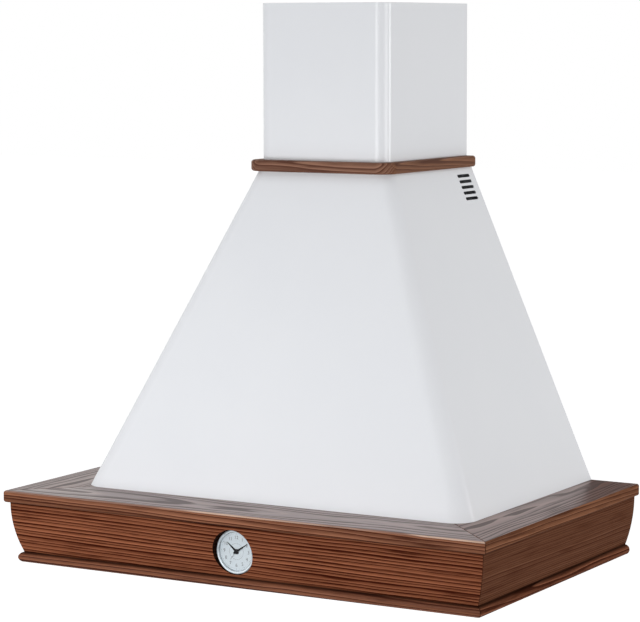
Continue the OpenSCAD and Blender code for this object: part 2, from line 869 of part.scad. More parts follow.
// Round collar that the duct slides over, with the stop ring for its flaps
module duct_collar() {
    bore = duct_r - duct_t;
    stop_z = flap_pin_up - flap_t / 2 - seat_gap;
    color("dimgray") translate([0, duct_y, duct_z]) difference() {
        union() {
            cylinder(r = duct_r + duct_flange_out, h = duct_flange_t);
            cylinder(r = duct_r, h = duct_flange_t + duct_len);
        }
        translate([0, 0, stop_z]) cylinder(r = bore, h = duct_len + cut);
        translate([0, 0, -cut]) cylinder(r = bore, h = cut + stop_z - flap_stop_t);
        translate([0, 0, -cut]) cylinder(r = bore - flap_stop_w, h = duct_len);
        translate([0, 0, flap_pin_up]) rotate([0, 90, 0])
            cylinder(r = flap_pin_r + pin_fit, h = 2 * duct_r + cut, center = true);
    }
}

// Pin across the duct collar that both flaps turn on
module flap_pin() {
    color("silver") translate([0, duct_y, duct_z + flap_pin_up])
        rotate([0, 90, 0]) cylinder(r = flap_pin_r, h = 2 * (duct_r - seat_gap), center = true);
}

// Half-disc flap toward -Y; its knuckles start at the given places along the pin
module flap(knuckles) {
    r = duct_r - duct_t - flap_edge_gap;
    translate([0, duct_y, duct_z + flap_pin_up]) difference() {
        union() {
            translate([0, 0, -flap_t / 2]) linear_extrude(flap_t) intersection() {
                circle(r);
                translate([-r, -r]) square([2 * r, r - flap_root]);
            }
            for (x = knuckles) {
                translate([x, 0, 0]) rotate([0, 90, 0]) cylinder(r = flap_knuckle_r, h = flap_knuckle_w);
                translate([x, -flap_root - cut, -flap_t / 2])
                    cube([flap_knuckle_w, flap_root + cut, flap_t]);
            }
        }
        rotate([0, 90, 0]) cylinder(r = flap_pin_r + pin_fit, h = 3 * r, center = true);
    }
}

module flap_front() { color("darkgray") flap(front_knuckles); }

module flap_rear() {
    color("darkgray") translate([0, 2 * duct_y, 0]) mirror([0, 1, 0]) flap(rear_knuckles);
}

// Double-inlet wheel: blades on both sides of a disc, an end ring on each side and a hub on the motor shaft
module impeller() {
    half = wheel_w / 2;
    blade_r = blade_depth * 0.75;
    color("gray") translate([0, fan_y, fan_z]) rotate([90, 0, 90]) difference() {
        union() {
            translate([0, 0, -wheel_disc_t / 2]) cylinder(r = wheel_r - 0.5, h = wheel_disc_t);
            translate([0, 0, -wheel_hub_len / 2 + 1]) cylinder(r = wheel_hub_r, h = wheel_hub_len);
            for (side = [-1, 1]) {
                translate([0, 0, side * (half - wheel_ring_t / 2) - wheel_ring_t / 2]) difference() {
                    cylinder(r = wheel_r, h = wheel_ring_t);
                    translate([0, 0, -cut]) cylinder(r = wheel_r - wheel_ring_w, h = wheel_ring_t + 2 * cut);
                }
            }
            for (i = [0:blade_count - 1]) {
                rotate([0, 0, i * 360 / blade_count])
                    translate([wheel_r - blade_depth + 1, -blade_r, -half + 1])
                    rotate([0, 0, 10]) rotate_extrude(angle = 75)
                    translate([blade_r, 0]) square([blade_t, wheel_w - 2]);
            }
        }
        cylinder(r = shaft_r, h = 2 * wheel_hub_len, center = true);
    }
}

module motor_shaft() {
    color("silver") translate([-motor_gap - shaft_in_motor, fan_y, fan_z]) rotate([0, 90, 0])
        cylinder(r = shaft_r - press_fit, h = shaft_in_motor + motor_gap + shaft_in_hub);
}

// Closed motor inside the left half of the wheel, with end covers, a shaft bore and a waist of cooling slots
module motor() {
    color("slategray") translate([motor_x, fan_y, fan_z]) rotate([0, 90, 0]) difference() {
        union() {
            cylinder(r = motor_r - motor_waist, h = motor_len);
            for (z = [motor_waist, motor_len - motor_cap_len - motor_waist]) {
                translate([0, 0, z]) cylinder(r = motor_r, h = motor_cap_len);
            }
            translate([0, 0, bracket_x - motor_x]) cylinder(r = motor_boss_r, h = motor_x - bracket_x + cut);
            translate([0, 0, motor_len - cut]) cylinder(r = motor_nose_r, h = 2 * cut);
        }
        translate([0, 0, motor_len - shaft_in_motor - cut])
            cylinder(r = shaft_r + pin_fit, h = 2 * shaft_in_motor);
        for (k = [0:motor_slot_count - 1]) {
            rotate([0, 0, k * 360 / motor_slot_count]) translate([motor_r - motor_waist, 0, motor_len / 2])
                cube([2 * motor_waist, 8, 10], center = true);
        }
    }
}

// Places of the three motor screws on the left inlet, with Z pointing into the housing
module motor_screw_places() {
    for (k = [0:2]) {
        translate([bracket_x, fan_y, fan_z]) rotate([90, 0, 90]) mirror([1, 0, 0])
            rotate([0, 0, 90 + 120 * k]) translate([inlet_r + boss_out, 0, 0]) children();
    }
}

// Three-armed bracket that carries the motor across the left inlet
module motor_bracket() {
    t = bracket_t;
    color("silver") difference() {
        translate([bracket_x - t, fan_y, fan_z]) rotate([90, 0, 90]) {
            cylinder(r = arm_hub_r, h = t);
            for (k = [0:2]) {
                rotate([0, 0, 90 + 120 * k]) {
                    translate([0, -arm_w / 2, 0]) cube([inlet_r + boss_out, arm_w, t]);
                    translate([arm_hub_r / 2, -arm_w / 2, -arm_rib_h])
                        cube([inlet_r - arm_hub_r, t, arm_rib_h]);
                    translate([inlet_r + boss_out, 0, 0]) cylinder(r = boss_r, h = t);
                }
            }
        }
        motor_screw_places() cylinder(r = mount_r + pin_fit, h = 4 * t, center = true);
    }
}

// Junction box on the back panel
module junction_box() {
    color("whitesmoke") translate([box_x - box_w / 2, -sheet_t - box_d, box_z]) difference() {
        cube([box_w, box_d, box_h]);
        translate([box_t, -cut, box_t]) cube([box_w - 2 * box_t, box_d - box_t + cut, box_h - 2 * box_t]);
        translate([box_w / 2, box_d / 2, box_h - box_t - cut])
            cylinder(r = gland_r + gland_wall + pin_fit, h = 4 * box_t);
    }
}

module junction_lid() {
    color("whitesmoke") translate([box_x - box_w / 2, -sheet_t - box_d - box_t, box_z]) {
        cube([box_w, box_t, box_h]);
        translate([box_t + seat_gap, box_t, box_t + seat_gap]) difference() {
            cube([box_w - 2 * (box_t + seat_gap), 3, box_h - 2 * (box_t + seat_gap)]);
            translate([box_t, -cut, box_t])
                cube([box_w - 4 * box_t - 2 * seat_gap, 5, box_h - 4 * box_t - 2 * seat_gap]);
        }
    }
}

module cable_gland() {
    color("black") translate([box_x, -sheet_t - box_d / 2, box_z + box_h]) difference() {
        union() {
            translate([0, 0, -box_t - gland_nut_h]) {
                cylinder(r = gland_r + gland_wall, h = box_t + gland_nut_h + cut);
                cylinder(r = gland_r + 2.5 * gland_wall, h = gland_nut_h, $fn = 6);
            }
            cylinder(r = gland_r + 2 * gland_wall, h = gland_nut_h, $fn = 6);
            cylinder(r = gland_r + 1.5 * gland_wall, h = gland_len);
        }
        translate([0, 0, -box_t - gland_nut_h - cut]) cylinder(r = gland_r, h = 3 * gland_len);
    }
}

// Underside panel: a folded pan with a framed opening for each filter
module under_panel() {
    t = sheet_t;
    w = inner_w;
    d = inner_d - t;
    color("silver") difference() {
        union() {
            translate([-w / 2, -t - d, panel_z]) difference() {
                cube([w, d, panel_flange_h]);
                translate([t, t, t]) cube([w - 2 * t, d - 2 * t, panel_flange_h]);
            }
            for (side = [-1, 1]) filter_rim(side);
        }
        for (side = [-1, 1]) {
            filter_opening(side);
            translate([side * lamp_x, lamp_y, panel_z - cut])
                cylinder(r = lamp_body_r + seat_gap, h = t + 2 * cut);
        }
        translate([-switch_w / 2 + switch_edge, switch_y - switch_d / 2 + switch_edge, panel_z - cut])
            cube([switch_w - 2 * switch_edge, switch_d - 2 * switch_edge, t + 2 * cut]);
        for (side = [-1, 1], end = [-1, 1]) {
            x = side * filter_x + end * (filter_w / 2 + filter_gap);
            translate([x, filter_y - hinge_in, panel_z + hinge_up]) rotate([0, 90, 0])
                cylinder(r = hinge_pin_r + pin_fit, h = 2 * (filter_gap + 2 * t + cut), center = true);
        }
    }
}

// Outside of the frame round a filter opening, up to the ledge
module filter_rim(side) {
    t = sheet_t;
    w = filter_w + 2 * filter_gap + 2 * t;
    d = filter_d + filter_gap + filter_rear_gap + 2 * t;
    translate([side * filter_x - w / 2, -filter_back + t - d, panel_z])
        cube([w, d, filter_t + ledge_gap + t]);
}

// Space inside that frame: the filter's opening, and the narrower one above the ledge
module filter_opening(side) {
    w = filter_w + 2 * filter_gap;
    d = filter_d + filter_gap + filter_rear_gap;
    translate([side * filter_x - w / 2, -filter_back - d, panel_z - cut])
        cube([w, d, filter_t + ledge_gap + cut]);
    translate([side * filter_x - w / 2 + ledge_w, -filter_back - d + ledge_w, panel_z])
        cube([w - 2 * ledge_w, d - 2 * ledge_w, filter_t + 20]);
}

// Frame of a grease filter, with hinge pins at its rear corners and a pocket for the latch
module filter_frame(side) {
    x = filter_w / 2;
    front = filter_y - filter_d;
    slot_h = latch_t - 1;
    translate([side * filter_x, 0, panel_z]) difference() {
        union() {
            translate([-x, front, 0]) cube([filter_w, filter_d, filter_t]);
            for (end = [-1, 1]) {
                translate([end * (x + 0.5), filter_y - hinge_in, hinge_up]) rotate([0, 90, 0])
                    cylinder(r = hinge_pin_r, h = 2 * (filter_gap + sheet_t + 0.5) + 1, center = true);
            }
        }
        translate([-x + filter_bar, front + filter_front_bar, -cut])
            cube([filter_w - 2 * filter_bar, filter_d - filter_bar - filter_front_bar, filter_t + 2 * cut]);
        translate([-latch_w / 2 - seat_gap, front + latch_wall, 1])
            cube([latch_w + 2 * seat_gap, latch_d + latch_travel + 2 * seat_gap, latch_t + 2 * seat_gap]);
        translate([-latch_w / 2 + latch_wall, front + latch_wall, -cut])
            cube([latch_w - 2 * latch_wall, latch_d + latch_travel - latch_wall, 2 * cut + 1]);
        translate([-latch_w / 6 - seat_gap, front - cut, 1 + seat_gap])
            cube([latch_w / 3 + 2 * seat_gap, latch_wall + 2 * cut, slot_h + seat_gap]);
    }
}

// Perforated filter pack inside the frame
module filter_mesh(side) {
    w = filter_w - 2 * filter_bar;
    d = filter_d - filter_bar - filter_front_bar;
    nx = floor((w - mesh_edge) / mesh_pitch);
    ny = floor((d - mesh_edge) / mesh_pitch);
    translate([side * filter_x, filter_y - filter_bar - d / 2, panel_z + mesh_in])
        linear_extrude(filter_t - 2 * mesh_in) difference() {
            translate([-w / 2, -d / 2]) square([w, d]);
            for (i = [0:nx - 1], j = [0:ny - 1]) {
                translate([(i - (nx - 1) / 2) * mesh_pitch, (j - (ny - 1) / 2) * mesh_pitch])
                    circle(mesh_hole_r, $fn = 4);
            }
        }
}

// Sliding latch with a finger lip, in the pocket of the front bar
module filter_latch(side) {
    front = filter_y - filter_d;
    translate([side * filter_x, front + latch_wall + seat_gap, panel_z + 1 + seat_gap]) {
        translate([-latch_w / 2, 0, 0]) cube([latch_w, latch_d, latch_t]);
        translate([-latch_w / 6, -latch_wall - 1, 0])
            cube([latch_w / 3, latch_wall + 2, latch_t - 1 - seat_gap]);
        translate([-latch_w / 2 + 2 * latch_wall, 2, -latch_t])
            cube([latch_w - 4 * latch_wall, 3, latch_t + 1]);
    }
}

module filter_frame_left() { color("lightgray") filter_frame(-1); }
module filter_frame_right() { color("lightgray") filter_frame(1); }
module filter_mesh_left() { color("darkgray") filter_mesh(-1); }
module filter_mesh_right() { color("darkgray") filter_mesh(1); }
module filter_latch_left() { color("gray") filter_latch(-1); }
module filter_latch_right() { color("gray") filter_latch(1); }

// Recessed lamp: rim and can, with the glass let into the rim
module lamp(side) {
    translate([side * lamp_x, lamp_y, panel_z]) difference() {
        union() {
            translate([0, 0, -lamp_rim_t]) cylinder(r = lamp_r, h = lamp_rim_t);
            cylinder(r = lamp_body_r, h = lamp_can_h);
            translate([0, 0, lamp_can_h]) cylinder(r1 = lamp_body_r, r2 = lamp_body_r - 8, h = 6);
        }
        translate([0, 0, -lamp_rim_t - cut])
            cylinder(r = lamp_body_r - lamp_wall, h = lamp_rim_t + lamp_glass_t - 1 + cut);
        cylinder(r = lamp_body_r - lamp_wall - 2, h = lamp_can_h - lamp_wall);
    }
}

module lamp_glass(side) {
    translate([side * lamp_x, lamp_y, panel_z - 1])
        cylinder(r = lamp_body_r - lamp_wall - seat_gap, h = lamp_glass_t);
}

module lamp_left() { color("silver") lamp(-1); }
module lamp_right() { color("silver") lamp(1); }
module lamp_glass_left() { color("lightyellow") lamp_glass(-1); }
module lamp_glass_right() { color("lightyellow") lamp_glass(1); }

// Switch panel: a face plate with a closed box behind it and one hole for each button
module switch_panel() {
    w = switch_w;
    d = switch_d;
    room = button_collar_t + button_travel + 1;
    color("dimgray") translate([0, switch_y, panel_z]) difference() {
        union() {
            translate([-w / 2 + d / 2, -d / 2, -switch_t]) cube([w - d, d, switch_t]);
            for (end = [-1, 1]) {
                translate([end * (w / 2 - d / 2), 0, -switch_t]) cylinder(r = d / 2, h = switch_t);
            }
            translate([-w / 2 + switch_edge + seat_gap, -d / 2 + switch_edge + seat_gap, 0])
                cube([w - 2 * (switch_edge + seat_gap), d - 2 * (switch_edge + seat_gap), switch_box_h]);
        }
        for (i = [0:button_count - 1]) {
            translate([button_x(i), 0, -switch_t - cut]) cylinder(r = button_r + run_gap, h = switch_box_h);
            translate([button_x(i), 0, 0]) cylinder(r = button_r + button_collar_out + run_gap, h = room);
        }
    }
}

function button_x(i) = (i - (button_count - 1) / 2) * button_pitch;

// Push button with a retaining collar that rests on the inside of the face plate
module button(i) {
    b = button_bevel;
    face = -switch_t - button_out;
    translate([button_x(i), switch_y, panel_z]) {
        translate([0, 0, face + b]) cylinder(r = button_r, h = button_len - button_travel - face - b);
        translate([0, 0, face]) cylinder(r1 = button_r - b, r2 = button_r, h = b);
        translate([0, 0, seat_gap / 3]) cylinder(r = button_r + button_collar_out, h = button_collar_t);
    }
}

module button_light() { color("black") button(0); }
module button_stop() { color("black") button(1); }
module button_speed_1() { color("black") button(2); }
module button_speed_2() { color("black") button(3); }
module button_speed_3() { color("black") button(4); }

// Places a shape that is drawn along Z on the clock's axis, with its foot on the floor of the recess
module on_clock_axis() {
    translate([-clock_left, clock_y, clock_z]) rotate([90, 0, 0]) children();
}

// Clock case: body in the bore, bezel on the floor of the recess
module clock_case() {
    r = clock_r;
    e = clock_edge_r;
    color("silver") on_clock_axis() difference() {
        union() {
            translate([0, 0, -clock_body_d]) cylinder(r = clock_body_r, h = clock_body_d + cut);
            rotate_extrude() {
                square([r - e, clock_bezel_t]);
                square([r, clock_bezel_t - e]);
                translate([r - e, clock_bezel_t - e]) circle(e);
            }
        }
        translate([0, 0, clock_floor_t]) cylinder(r = clock_dial_r - clock_glass_seat, h = clock_bezel_t);
        translate([0, 0, clock_bezel_t - clock_glass_t]) cylinder(r = clock_dial_r, h = clock_bezel_t);
        translate([0, 0, -clock_body_d + clock_wall])
            cylinder(r = clock_body_r - clock_wall, h = clock_body_d);
        translate([0, 0, -clock_body_d - cut]) cylinder(r = setting_knob_r + 1, h = clock_wall + 2 * cut);
    }
}

module clock_dial() {
    color("white") on_clock_axis() difference() {
        translate([0, 0, clock_floor_t]) cylinder(r = clock_dial_r - clock_glass_seat - pin_fit, h = dial_t);
        cylinder(r = movement_tube_r + pin_fit, h = 10);
    }
}

module clock_glass() {
    color([0.9, 0.95, 1, 0.3]) on_clock_axis() translate([0, 0, clock_bezel_t - clock_glass_t])
        cylinder(r = clock_dial_r - pin_fit, h = clock_glass_t);
}

// Quartz movement inside the case, with the three coaxial arbors' tube
module clock_movement() {
    color("black") on_clock_axis() difference() {
        union() {
            translate([-movement_w / 2, -movement_w / 2, clock_floor_t - movement_h])
                cube([movement_w, movement_w, movement_h]);
            translate([0, 0, -clock_body_d + 1])
                cylinder(r = setting_knob_r, h = clock_body_d - movement_h + cut);
            cylinder(r = movement_tube_r, h = clock_floor_t + dial_t + hand_space / 2);
        }
        translate([0, 0, -arbor_in - cut]) cylinder(r = minute_arbor_r + pin_fit, h = 10);
    }
}

function hand_z(level) = clock_floor_t + dial_t + hand_gap / 2 + level * (hand_t + hand_space);

// A hand drawn along its own direction: tail, taper and hub; the angle is clockwise from twelve
module hand(level, len, w, tail, hub, angle) {
    on_clock_axis() translate([0, 0, hand_z(level)]) rotate([0, 0, angle]) {
        linear_extrude(hand_t) {
            polygon([
                [-w / 3, -tail], [w / 3, -tail], [w / 2, 0], [w / 8, len], [-w / 8, len], [-w / 2, 0]
            ]);
            circle(hub);
        }
    }
}

module hour_hand() {
    color("black") difference() {
        hand(0, hour_len, 3, 5, 3.2, -hour_angle);
        on_clock_axis() cylinder(r = minute_arbor_r + pin_fit, h = clock_bezel_t);
    }
}

module minute_hand() {
    color("black") difference() {
        union() {
            hand(1, minute_len, 2.8, 6, 3, -minute_angle);
            on_clock_axis() translate([0, 0, -arbor_in])
                cylinder(r = minute_arbor_r, h = arbor_in + hand_z(1) + hand_t / 2);
        }
        on_clock_axis() cylinder(r = second_arbor_r + pin_fit, h = 2 * clock_bezel_t, center = true);
    }
}

module second_hand() {
    color("black") {
        hand(2, second_len, 0.6, 7, 1.4, -second_angle);
        on_clock_axis() translate([0, 0, -arbor_in])
            cylinder(r = second_arbor_r, h = arbor_in + hand_z(2) + hand_t / 2);
    }
}

front_board();
left_board();
right_board();
front_fascia();
left_fascia();
right_fascia();
front_bead();
left_bead();
right_bead();
corner_blocks();
canopy();
frame_screws();
back_panel();
collar();
lower_flue();
upper_flue();
flue_bracket();
blower_shelf();
capacitor();
blower_housing_left();
blower_housing_right();
blower_screws();
outlet_adapter();
duct_collar();
flap_pin();
flap_front();
flap_rear();
impeller();
motor_shaft();
motor();
motor_bracket();
junction_box();
junction_lid();
cable_gland();
under_panel();
filter_frame_left();
filter_frame_right();
filter_mesh_left();
filter_mesh_right();
filter_latch_left();
filter_latch_right();
lamp_left();
lamp_right();
lamp_glass_left();
lamp_glass_right();
switch_panel();
button_light();
button_stop();
button_speed_1();
button_speed_2();
button_speed_3();
clock_case();
clock_dial();
clock_glass();
clock_movement();
hour_hand();
minute_hand();
second_hand();
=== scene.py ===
import math

import bmesh
import bpy
from mathutils import Matrix, Vector


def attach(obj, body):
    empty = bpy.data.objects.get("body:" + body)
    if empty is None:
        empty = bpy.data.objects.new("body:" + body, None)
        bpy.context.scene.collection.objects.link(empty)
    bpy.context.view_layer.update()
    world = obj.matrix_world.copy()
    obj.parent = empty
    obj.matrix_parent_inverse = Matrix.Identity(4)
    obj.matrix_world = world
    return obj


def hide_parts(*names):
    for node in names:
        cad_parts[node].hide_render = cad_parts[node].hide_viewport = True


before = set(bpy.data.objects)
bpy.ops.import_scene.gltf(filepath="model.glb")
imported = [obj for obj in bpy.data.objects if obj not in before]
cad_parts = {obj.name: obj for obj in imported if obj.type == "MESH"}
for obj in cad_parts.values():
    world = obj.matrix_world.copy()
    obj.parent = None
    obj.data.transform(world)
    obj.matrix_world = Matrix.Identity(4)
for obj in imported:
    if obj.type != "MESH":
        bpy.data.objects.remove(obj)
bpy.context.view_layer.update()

bpy.context.scene.view_settings.view_transform = "Standard"

# The camera stands in front of the hood and to its right, about level with the top of the flue cover, and
# looks slightly down. Its place, angles and long lens come from the corners of the hood in the photograph.
photo_w, photo_h = 640, 622
focal_px, centre_px = 2587.7, (321.0, 311.4)
camera_at = Vector((2.1555, -4.0047, 0.3814))
yaw, pitch, roll = (math.radians(a) for a in (30.16, -6.13, -0.13))


def linked(name, data):
    """A new object in the scene."""
    made = bpy.data.objects.new(name, data)
    bpy.context.scene.collection.objects.link(made)
    return made


camera_data = bpy.data.cameras.new("camera")
camera = linked("camera", camera_data)
bpy.context.scene.camera = camera
camera_data.sensor_width = 36
camera_data.lens = focal_px * camera_data.sensor_width / photo_w
camera_data.shift_x = (photo_w / 2 - centre_px[0]) / photo_w
camera_data.shift_y = (centre_px[1] - photo_h / 2) / photo_w
camera_data.clip_end = 60
ahead = Vector((-math.sin(yaw) * math.cos(pitch), math.cos(yaw) * math.cos(pitch), math.sin(pitch)))
sideways = Vector((math.cos(yaw), math.sin(yaw), 0))
upward = sideways.cross(ahead)
turn = Matrix((sideways, upward, -ahead)).transposed()
camera.matrix_world = Matrix.Translation(camera_at) @ turn.to_4x4() @ Matrix.Rotation(roll, 4, "Z")


# A white studio: an even pale sky, a pale floor well below the hood, and soft boxes. Two of them stand level
# with the flue cover, so that only its upright round corner mirrors them. The camera sees plain white behind.
# Glossy surfaces also mirror a darker doorway at the rear left, and a white card that stands in front of it.
def node(tree, kind, inputs=None, **settings):
    """Adds a node, sets it, and fills its inputs with values or with other nodes' outputs."""
    made = tree.nodes.new(kind)
    for key, value in settings.items():
        setattr(made, key, value)
    for key, value in (inputs or {}).items():
        if isinstance(value, bpy.types.NodeSocket):
            tree.links.new(value, made.inputs[key])
        else:
            made.inputs[key].default_value = value
    return made


def math_node(tree, operation, *values, clamp=False):
    return node(tree, "ShaderNodeMath", dict(enumerate(values)), operation=operation, use_clamp=clamp).outputs[0]


def spread_range(tree, value, low, high, to_low=0.0, to_high=1.0):
    return node(tree, "ShaderNodeMapRange", {
        "Value": value, "From Min": low, "From Max": high, "To Min": to_low, "To Max": to_high}).outputs[0]


def material(name):
    made = bpy.data.materials.new(name)
    made.use_nodes = True
    made.node_tree.nodes.clear()
    return made, made.node_tree


def seen_rays(tree):
    """The Light Path outputs, and 1 where the camera looks: straight, in a mirror or through glass."""
    rays = node(tree, "ShaderNodeLightPath").outputs
    seen = math_node(tree, "MAXIMUM", rays["Is Camera Ray"], rays["Is Glossy Ray"])
    return rays, math_node(tree, "MAXIMUM", seen, rays["Is Transmission Ray"])


world = bpy.data.worlds.new("studio")
bpy.context.scene.world = world
world.use_nodes = True
sky = world.node_tree
sky.nodes.clear()
rays, seen = seen_rays(sky)
ambient = node(sky, "ShaderNodeBackground", {"Color": (0.97, 0.98, 1, 1), "Strength": 0.4})
toward = node(sky, "ShaderNodeTexCoord").outputs["Generated"]
doorway_at = (-0.49, 0.85, 0.19)
facing = node(sky, "ShaderNodeVectorMath", {0: toward, 1: doorway_at}, operation="DOT_PRODUCT").outputs["Value"]
doorway = math_node(sky, "MULTIPLY", spread_range(sky, facing, 0.92, 0.96), rays["Is Glossy Ray"])
white = node(sky, "ShaderNodeBackground", {"Color": (1, 1, 1, 1),
                                           "Strength": math_node(sky, "SUBTRACT", 1.0, doorway)})
sky_mix = node(sky, "ShaderNodeMixShader", {0: seen, 1: ambient.outputs[0], 2: white.outputs[0]})
node(sky, "ShaderNodeOutputWorld", {"Surface": sky_mix.outputs[0]})


def soft_box(name, place, target, width, height, radiance, colour=(1, 1, 1)):
    """A flat lamp of a size and a brightness, turned to a target."""
    light = bpy.data.lights.new(name, "AREA")
    light.shape = "RECTANGLE"
    light.size, light.size_y = width, height
    light.energy = radiance * math.pi * width * height
    light.color = colour
    lamp = linked(name, light)
    lamp.location = place
    lamp.rotation_euler = (Vector(target) - Vector(place)).to_track_quat("-Z", "Y").to_euler()


soft_box("front_strip", (0.14, -3.2, 0.25), (0.1, -0.27, 0.25), 0.8, 0.8, 4.5)
soft_box("side_strip", (2.4, 1.45, 0.25), (0.1, -0.27, 0.25), 0.6, 0.8, 8.0)
soft_box("overhead", (-0.5, -1.5, 2.2), (0.0, -0.4, -0.3), 1.6, 1.2, 1.3)
soft_box("low_key", (-0.3, -1.8, -0.28), (0.0, -0.45, -0.28), 2.5, 0.5, 3.5, (0.97, 0.985, 1))
soft_box("side_fill", (2.8, -0.4, -0.1), (0.2, -0.25, -0.15), 1.4, 1.4, 3.1)


def stage_sheet(name, low, high, surface):
    """A flat sheet between two opposite corners that belongs to the studio and not to the hood."""
    (x0, y0, z0), (x1, y1, z1) = low, high
    mesh = bpy.data.meshes.new(name)
    mesh.from_pydata([(x0, y0, z0), (x1, y0, z0), (x1, y1, z1), (x0, y1, z1)], [], [(0, 1, 2, 3)])
    mesh.materials.append(surface)
    sheet = linked(name, mesh)
    return sheet


card_paint, tree = material("card_paint")
card_white = node(tree, "ShaderNodeEmission", {"Color": (1, 1, 1, 1), "Strength": 1.0})
node(tree, "ShaderNodeOutputMaterial", {"Surface": card_white.outputs[0]})
card = stage_sheet("white_card", (-2.2, 0.35, -0.6), (-0.42, 0.35, 0.6), card_paint)
card.visible_camera = card.visible_diffuse = card.visible_shadow = card.visible_transmission = False

floor_paint, tree = material("floor_paint")
rays, seen = seen_rays(tree)
matt = node(tree, "ShaderNodeBsdfDiffuse", {"Color": (0.8, 0.8, 0.8, 1)})
glow = node(tree, "ShaderNodeEmission", {"Color": (1, 1, 1, 1), "Strength": math_node(tree, "MULTIPLY", seen, 0.75)})
shown = node(tree, "ShaderNodeAddShader", {0: matt.outputs[0], 1: glow.outputs[0]})
from_below = node(tree, "ShaderNodeNewGeometry").outputs["Backfacing"]
clear = node(tree, "ShaderNodeBsdfTransparent")
shown = node(tree, "ShaderNodeMixShader", {0: from_below, 1: shown.outputs[0], 2: clear.outputs[0]})
node(tree, "ShaderNodeOutputMaterial", {"Surface": shown.outputs[0]})
floor_z = -1.6
stage_sheet("floor", (-30, -30, floor_z), (30, 30, floor_z), floor_paint)


# The wooden base: three top boards, three curved fascias and three half-round beads, all mitred at the two
# front corners and glued. They are softwood stained a reddish brown, brushed so that the rings stand in low
# relief, and finished in satin lacquer. Edges are eased a little, so each mitre shows as a fine dark line.
def node_group(name, kind, inputs, outputs):
    """An empty node group with its sockets, each (name, kind, default); returns it and its input sockets."""
    tree = bpy.data.node_groups.new(name, kind)
    for sockets, side in ((inputs, "INPUT"), (outputs, "OUTPUT")):
        for socket_name, socket_kind, *default in sockets:
            socket = tree.interface.new_socket(socket_name, in_out=side, socket_type="NodeSocket" + socket_kind)
            if default:
                socket.default_value = default[0]
    return tree, tree.nodes.new("NodeGroupInput").outputs


def noise(tree, vector, scale, detail=3.0, roughness=0.5):
    """A noise value on a vector that is stretched by the three numbers of scale."""
    spread = node(tree, "ShaderNodeVectorMath", {0: vector, 1: scale}, operation="MULTIPLY").outputs[0]
    return node(tree, "ShaderNodeTexNoise", {
        "Vector": spread, "Scale": 1.0, "Detail": detail, "Roughness": roughness}).outputs["Fac"]


def mix_colour(tree, share, first, second):
    mixed = node(tree, "ShaderNodeMix", {"Factor": share}, data_type="RGBA")
    for socket, value in ((mixed.inputs[6], first), (mixed.inputs[7], second)):
        if isinstance(value, bpy.types.NodeSocket):
            tree.links.new(value, socket)
        else:
            socket.default_value = value
    return mixed.outputs[2]


def profile_ramp(tree, value, *stops):
    """A smooth curve through (place, level) stops."""
    made = node(tree, "ShaderNodeValToRGB", {"Fac": value})
    ramp = made.color_ramp
    ramp.interpolation = "EASE"
    while len(ramp.elements) < len(stops):
        ramp.elements.new(0.5)
    for element, (place, level) in zip(ramp.elements, stops):
        element.position = place
        element.color = (level, level, level, 1)
    return made.outputs[0]


# Rings round a line, each with its own darkness, that wander, fade and break up into streaks, marks and pores.
grain, given = node_group("wood_grain", "ShaderNodeTree", [
    ("Vector", "Vector"), ("Ring Centre", "Vector"), ("Ring Width", "Float", 0.005), ("Wander", "Float", 0.02),
    ("Light", "Color"), ("Dark", "Color"),
], [("Color", "Color"), ("Roughness", "Float"), ("Height", "Float"), ("Sheen", "Float")])


def times(value, factor):
    return math_node(grain, "MULTIPLY", value, factor)


def plus(value, other, clamp=False):
    return math_node(grain, "ADD", value, other, clamp=clamp)


along = node(grain, "ShaderNodeVectorMath", {0: given["Vector"], 1: given["Ring Centre"]},
             operation="SUBTRACT").outputs[0]
parts = node(grain, "ShaderNodeSeparateXYZ", {0: along}).outputs
across = math_node(grain, "SQRT", plus(times(parts[1], parts[1]), times(parts[2], parts[2])))
wander = times(plus(noise(grain, along, (1.7, 9, 9)), -0.5), given["Wander"])
ripple = times(plus(noise(grain, along, (7, 50, 50)), -0.5), 0.0022)
across = plus(plus(plus(across, wander), ripple), times(parts[0], 0.012))
rings = math_node(grain, "DIVIDE", across, given["Ring Width"])
uneven = node(grain, "ShaderNodeTexNoise", {"W": times(rings, 0.7), "Scale": 1.0, "Detail": 1.0},
              noise_dimensions="1D").outputs["Fac"]
rings = plus(rings, times(uneven, 1.1))
ring = math_node(grain, "FLOOR", rings)
ring_tone = node(grain, "ShaderNodeTexWhiteNoise", {"W": ring}, noise_dimensions="1D").outputs["Value"]
# Each ring: a narrow dark valley, then a bright ridge that fades; the ridge's brightness is partly the wood's own
# paler band and partly a painted highlight on the brushed ridge.
shape = profile_ramp(grain, math_node(grain, "FRACT", rings), (0.0, 0.06), (0.12, 0.0), (0.24, 1.0), (0.38, 0.6),
                     (0.78, 0.38), (1.0, 0.06))
fading = noise(grain, along, (4, 90, 90), 2.0)
contrast = plus(times(ring_tone, 0.6), spread_range(grain, fading, 0.35, 0.65, 0.5, 1.1))
streak = spread_range(grain, noise(grain, along, (7, 420, 420), 4.0, 0.6), 0.28, 0.72, -0.5, 0.5)
pores = spread_range(grain, noise(grain, along, (30, 1500, 1500), 2.0), 0.54, 0.7)
cloud = plus(noise(grain, along, (4, 16, 16)), -0.5)
dark_marks = spread_range(grain, noise(grain, along, (9, 130, 130), 3.0), 0.53, 0.72)
tone = plus(times(plus(shape, -0.42), times(contrast, 1.15)), 0.45)
tone = plus(plus(tone, times(streak, 0.15)), times(cloud, 0.45))
tone = plus(tone, times(dark_marks, -0.4))
tone = plus(tone, times(pores, -0.2), clamp=True)
out = node(grain, "NodeGroupOutput")
grain.links.new(mix_colour(grain, tone, given["Dark"], given["Light"]), out.inputs["Color"])
grain.links.new(spread_range(grain, tone, 0.0, 1.0, 0.68, 0.5), out.inputs["Roughness"])
grain.links.new(spread_range(grain, tone, 0.05, 0.4), out.inputs["Sheen"])
